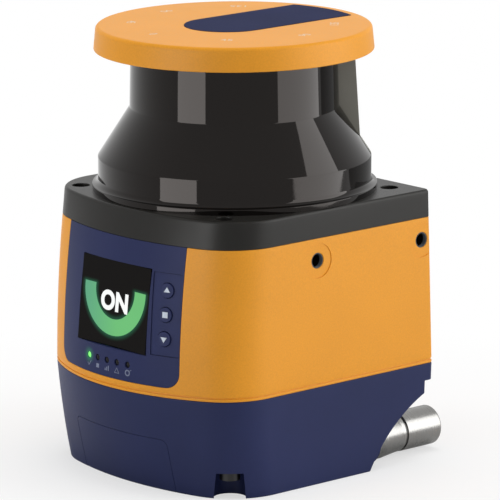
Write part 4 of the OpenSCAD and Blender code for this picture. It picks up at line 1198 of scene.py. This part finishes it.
# %% Keys
KEYS = (("key_up", 1), ("key_select", 0), ("key_down", -1))
for name, i in KEYS:
    cap_of_key = spun(eased([
        (0, -0.13, 0), (1.7, -0.2, 0), (2.5, -0.25, 0.18), (2.5, 1.55, 0), (3.25, 1.55, 0.1),
        (3.25, 2.25, 0.1), (1.4, 2.25, 0), (1.4, 3.2, 0.15), (0, 3.2, 0),
    ]), name + "_cap", steps=72)
    carried(cap_of_key, at_key(i) @ twist(-math.pi / 2, "X"))
    dress(cap_of_key, "key_blue", name + "_body", stands_for=[name])
    if name == "key_select":
        mark = block(-1.05, 1.05, -1.0, 1.0, 0, 0.03, name + "_mark")
    else:
        mark = rod(1.35, (0, 0, 0), (0, 0, 0.03), 3, name + "_mark")
        up = 1 if name == "key_up" else -1
        carried(mark, Matrix.Diagonal((1.07, -0.89 * up, 1, 1)))
    carried(mark, upright(at_key(i) @ shift(0, -0.255, 0)))
    dress(mark, "key_print", name + "_body")

# %% Status lights and their icons
def lens_place(i, out):
    x = i * LENS_PITCH
    return upright(shift(x, front(x, LENS_Z) - out, LENS_Z))


# Painted light: the panel's own finish glows green round the lit lens, fading out between 0.9 and 3.6
# mm from it, for the light the lens throws on the panel.
lit_lens = lens_place(-2, 0).translation / MM
away = panel_skin_with_painted_glow.distance(panel_skin_with_painted_glow.place((1 / MM,) * 3, centre=-lit_lens))
panel_skin_with_painted_glow.glow(panel_skin_with_painted_glow.range(away, 0.9, 3.6, 1, 0), (0.012, 0.16, 0.03))
domes = []
DOME_R = LENS_R - 0.04
dome_profile = eased([(0, -3.5, 0), (DOME_R, -3.5, 0), (DOME_R, 0.0, 0.35), (0, 0.16, 0)], 6)
for i in range(-2, 3):
    domes.append(carried(spun(dome_profile, "dome", steps=48), lens_place(i, -0.3)))
domes[0].name = "run_light"
dress(domes[0], "run_green", stands_for=["run_lens"])
dress(fused(domes[1:], "status_lights"), "lens_dark", stands_for=["status_lenses"])


def icon_strokes(i):
    """Short strokes and rings of one icon, in millimetres on the panel."""
    if i == -2:
        low = (-0.15, -0.55, 0)
        return [rod(0.12, (-0.7, 0.1, 0), low, 12), rod(0.12, low, (0.8, 0.7, 0), 12)]
    if i == -1:
        return [block(-0.55, 0.55, -0.5, 0.5, -0.12, 0.12)]
    if i == 0:
        bars = ((-0.6, 0.0), (0, 0.35), (0.6, 0.7))
        return [block(x - 0.14, x + 0.14, -0.6, h, -0.12, 0.12) for x, h in bars]
    if i == 1:
        tips = [(0.85 * math.sin(a), 0.85 * math.cos(a) - 0.15, 0) for a in (0, 2.094, 4.189)]
        return [rod(0.11, tips[k], tips[k - 1], 12) for k in range(3)]
    ring_icon = spun([(0.5, -0.1), (0.8, -0.1), (0.8, 0.1), (0.5, 0.1)], steps=24)
    return [ring_icon, rod(0.11, (0.7, 0.55, 0), (1.25, 0.9, 0), 12)]


icons = []
for i in range(-2, 3):
    x, z = i * LENS_PITCH + 0.1, 40.9
    slope = math.atan((front(x + 1, z) - front(x - 1, z)) / 2)
    lean = math.atan(front(x, z + 1) - front(x, z))
    place = shift(x, front(x, z) + 0.09, z) @ twist(slope, "Z") @ twist(-lean, "X")
    place = place @ Matrix.Diagonal((1.4, 1, 1.4, 1))
    icons += [carried(stroke, upright(place)) for stroke in icon_strokes(i)]
dress(fused(icons, "status_icons"), "icon_print")

# %% [markdown]
# ## Connectors
#
# Two round connector sleeves leave the arch at the rear. Their bore has the
# rings of a thread, and a black insert with contacts sits at its bottom. The
# profile is spun upright and then laid along Y at its place.

# %% Connector sleeves
PLUG_END, PLUG_GROOVE = 57.8, 42.0
thread = []
y = PLUG_END - 0.9
while y > PLUG_END - 8.4:
    thread += [(5.45, y, 0), (5.8, y - 0.25, 0), (5.8, y - 0.4, 0), (5.45, y - 0.65, 0)]
    y -= 1.0
sleeve_profile = eased([
    (2.8, 12, 0), (3.8, 12, 0.2), (3.8, HUB_SEAT, 0), (7.7, HUB_SEAT, 0.3),
    (7.7, PLUG_GROOVE - 10.2, 1.5),
    (6.8, PLUG_GROOVE - 2.4, 0.4), (6.8, PLUG_GROOVE - 0.9, 0.15), (6.2, PLUG_GROOVE - 0.9, 0.1),
    (6.2, PLUG_GROOVE, 0.1), (6.9, PLUG_GROOVE, 0.2), (6.9, PLUG_END, 0.9), (5.75, PLUG_END, 0.1),
    (5.45, PLUG_END - 0.5, 0), *thread, (5.45, PLUG_END - 9, 0), (5.25, PLUG_END - 9, 0),
    (5.25, PLUG_END - 17, 0), (4, PLUG_END - 17, 0), (4, HUB_SEAT + 2, 0), (2.8, HUB_SEAT + 2, 0),
])
for side, word_side in ((1, "right"), (-1, "left")):
    sleeve = spun(sleeve_profile, "connector_sleeve_" + word_side, steps=128)
    lay = shift(side * PLUG_X, 0, PLUG_Z) @ twist(-math.pi / 2, "X")
    dress(carried(sleeve, lay), "connector_nickel", stands_for=["connector_shell_" + word_side])

# %% [markdown]
# ## The parts that keep their CAD mesh
#
# Screws, boards, bearings, mirror and seals are exact already, so their meshes
# stay and only their plain colours are exchanged for the finishes above.

# %% Finishes for the CAD nodes
for item in frame["record"]["subparts"]:
    solid = nodes[item["node"]]
    for place in solid.material_slots:
        place.material = finishes[item["material_slot"]]
# Painted shade: the screws in the foot's wells get near-black steel in place of their plated steel,
# standing in for the shade in the wells.
for place in nodes["base_screws"].material_slots:
    place.material = finishes["screw_black_painted_shade"]

# %% [markdown]
# ## Floor and surroundings
#
# The background is plain white for the camera, while the light that falls on
# the scanner from all round is weaker, so that its forms keep their shading.
# The Light Path node tells the two apart. One low grey card behind the scanner
# gives the metal sleeves something darker than the white room to mirror.

# %% Floor and world
deselect()
bpy.ops.mesh.primitive_plane_add(size=12)
floor = named("floor")
paper = Finish("floor_white", base_color=(0.9, 0.9, 0.9), roughness=0.9, specular_ior_level=0.0)
spread = paper.distance(paper.place())
white = paper.node("ShaderNodeEmission", None, {"Strength": 1.0}, output="Emission")
plain = Wire(paper, paper.shader.outputs[0])
straight = paper.ray("Camera") * paper.range(spread, 0.06, 0.2, 0.6, 1.0)
mirrored = (paper.ray("Glossy") + paper.ray("Transmission")) * paper.range(spread, 0.06, 0.3, 0.0, 1.0)
share = straight + mirrored
both = paper.node("ShaderNodeMixShader", None, {0: share, 1: plain, 2: white}, output="Shader")
paper.tree.links.new(both.socket, paper.tree.nodes["Material Output"].inputs["Surface"])
floor.data.materials.append(paper.material)


CARD_AZIMUTH, CARD_DISTANCE = 100.0, 0.45
CARD_WIDTH, CARD_HEIGHT = 0.6, 0.09
deselect()
bpy.ops.mesh.primitive_plane_add(
    size=1, location=(*polar(CARD_DISTANCE, CARD_AZIMUTH), CARD_HEIGHT / 2),
    rotation=(math.pi / 2, 0, math.radians(CARD_AZIMUTH - 90)),
)
bpy.context.object.scale = (CARD_WIDTH, CARD_HEIGHT, 1)
card = named("rear_card")
card.visible_camera = card.visible_diffuse = card.visible_shadow = False
grey = Finish("rear_card", base_color=(0.0, 0.0, 0.0), specular_ior_level=0.0,
              emission_color=(1.0, 1.0, 1.0), emission_strength=0.3)
card.data.materials.append(grey.material)


class Surroundings(Finish):
    """The same node helpers, for the world instead of a material."""

    def __init__(self, name):
        self.world = bpy.data.worlds.new(name)
        self.world.use_nodes = True
        self.tree = self.world.node_tree
        self.shader = self.tree.nodes["Background"]


around = Surroundings("studio")
around.shader.inputs["Color"].default_value = (1, 1, 1, 1)
seen = around.ray("Camera") + around.ray("Glossy") + around.ray("Transmission")
around.feed(strength=seen * 0.57 + 0.43)
bpy.context.scene.world = around.world
bpy.context.scene.view_settings.view_transform = "Standard"

print("floor, card and world are ready")
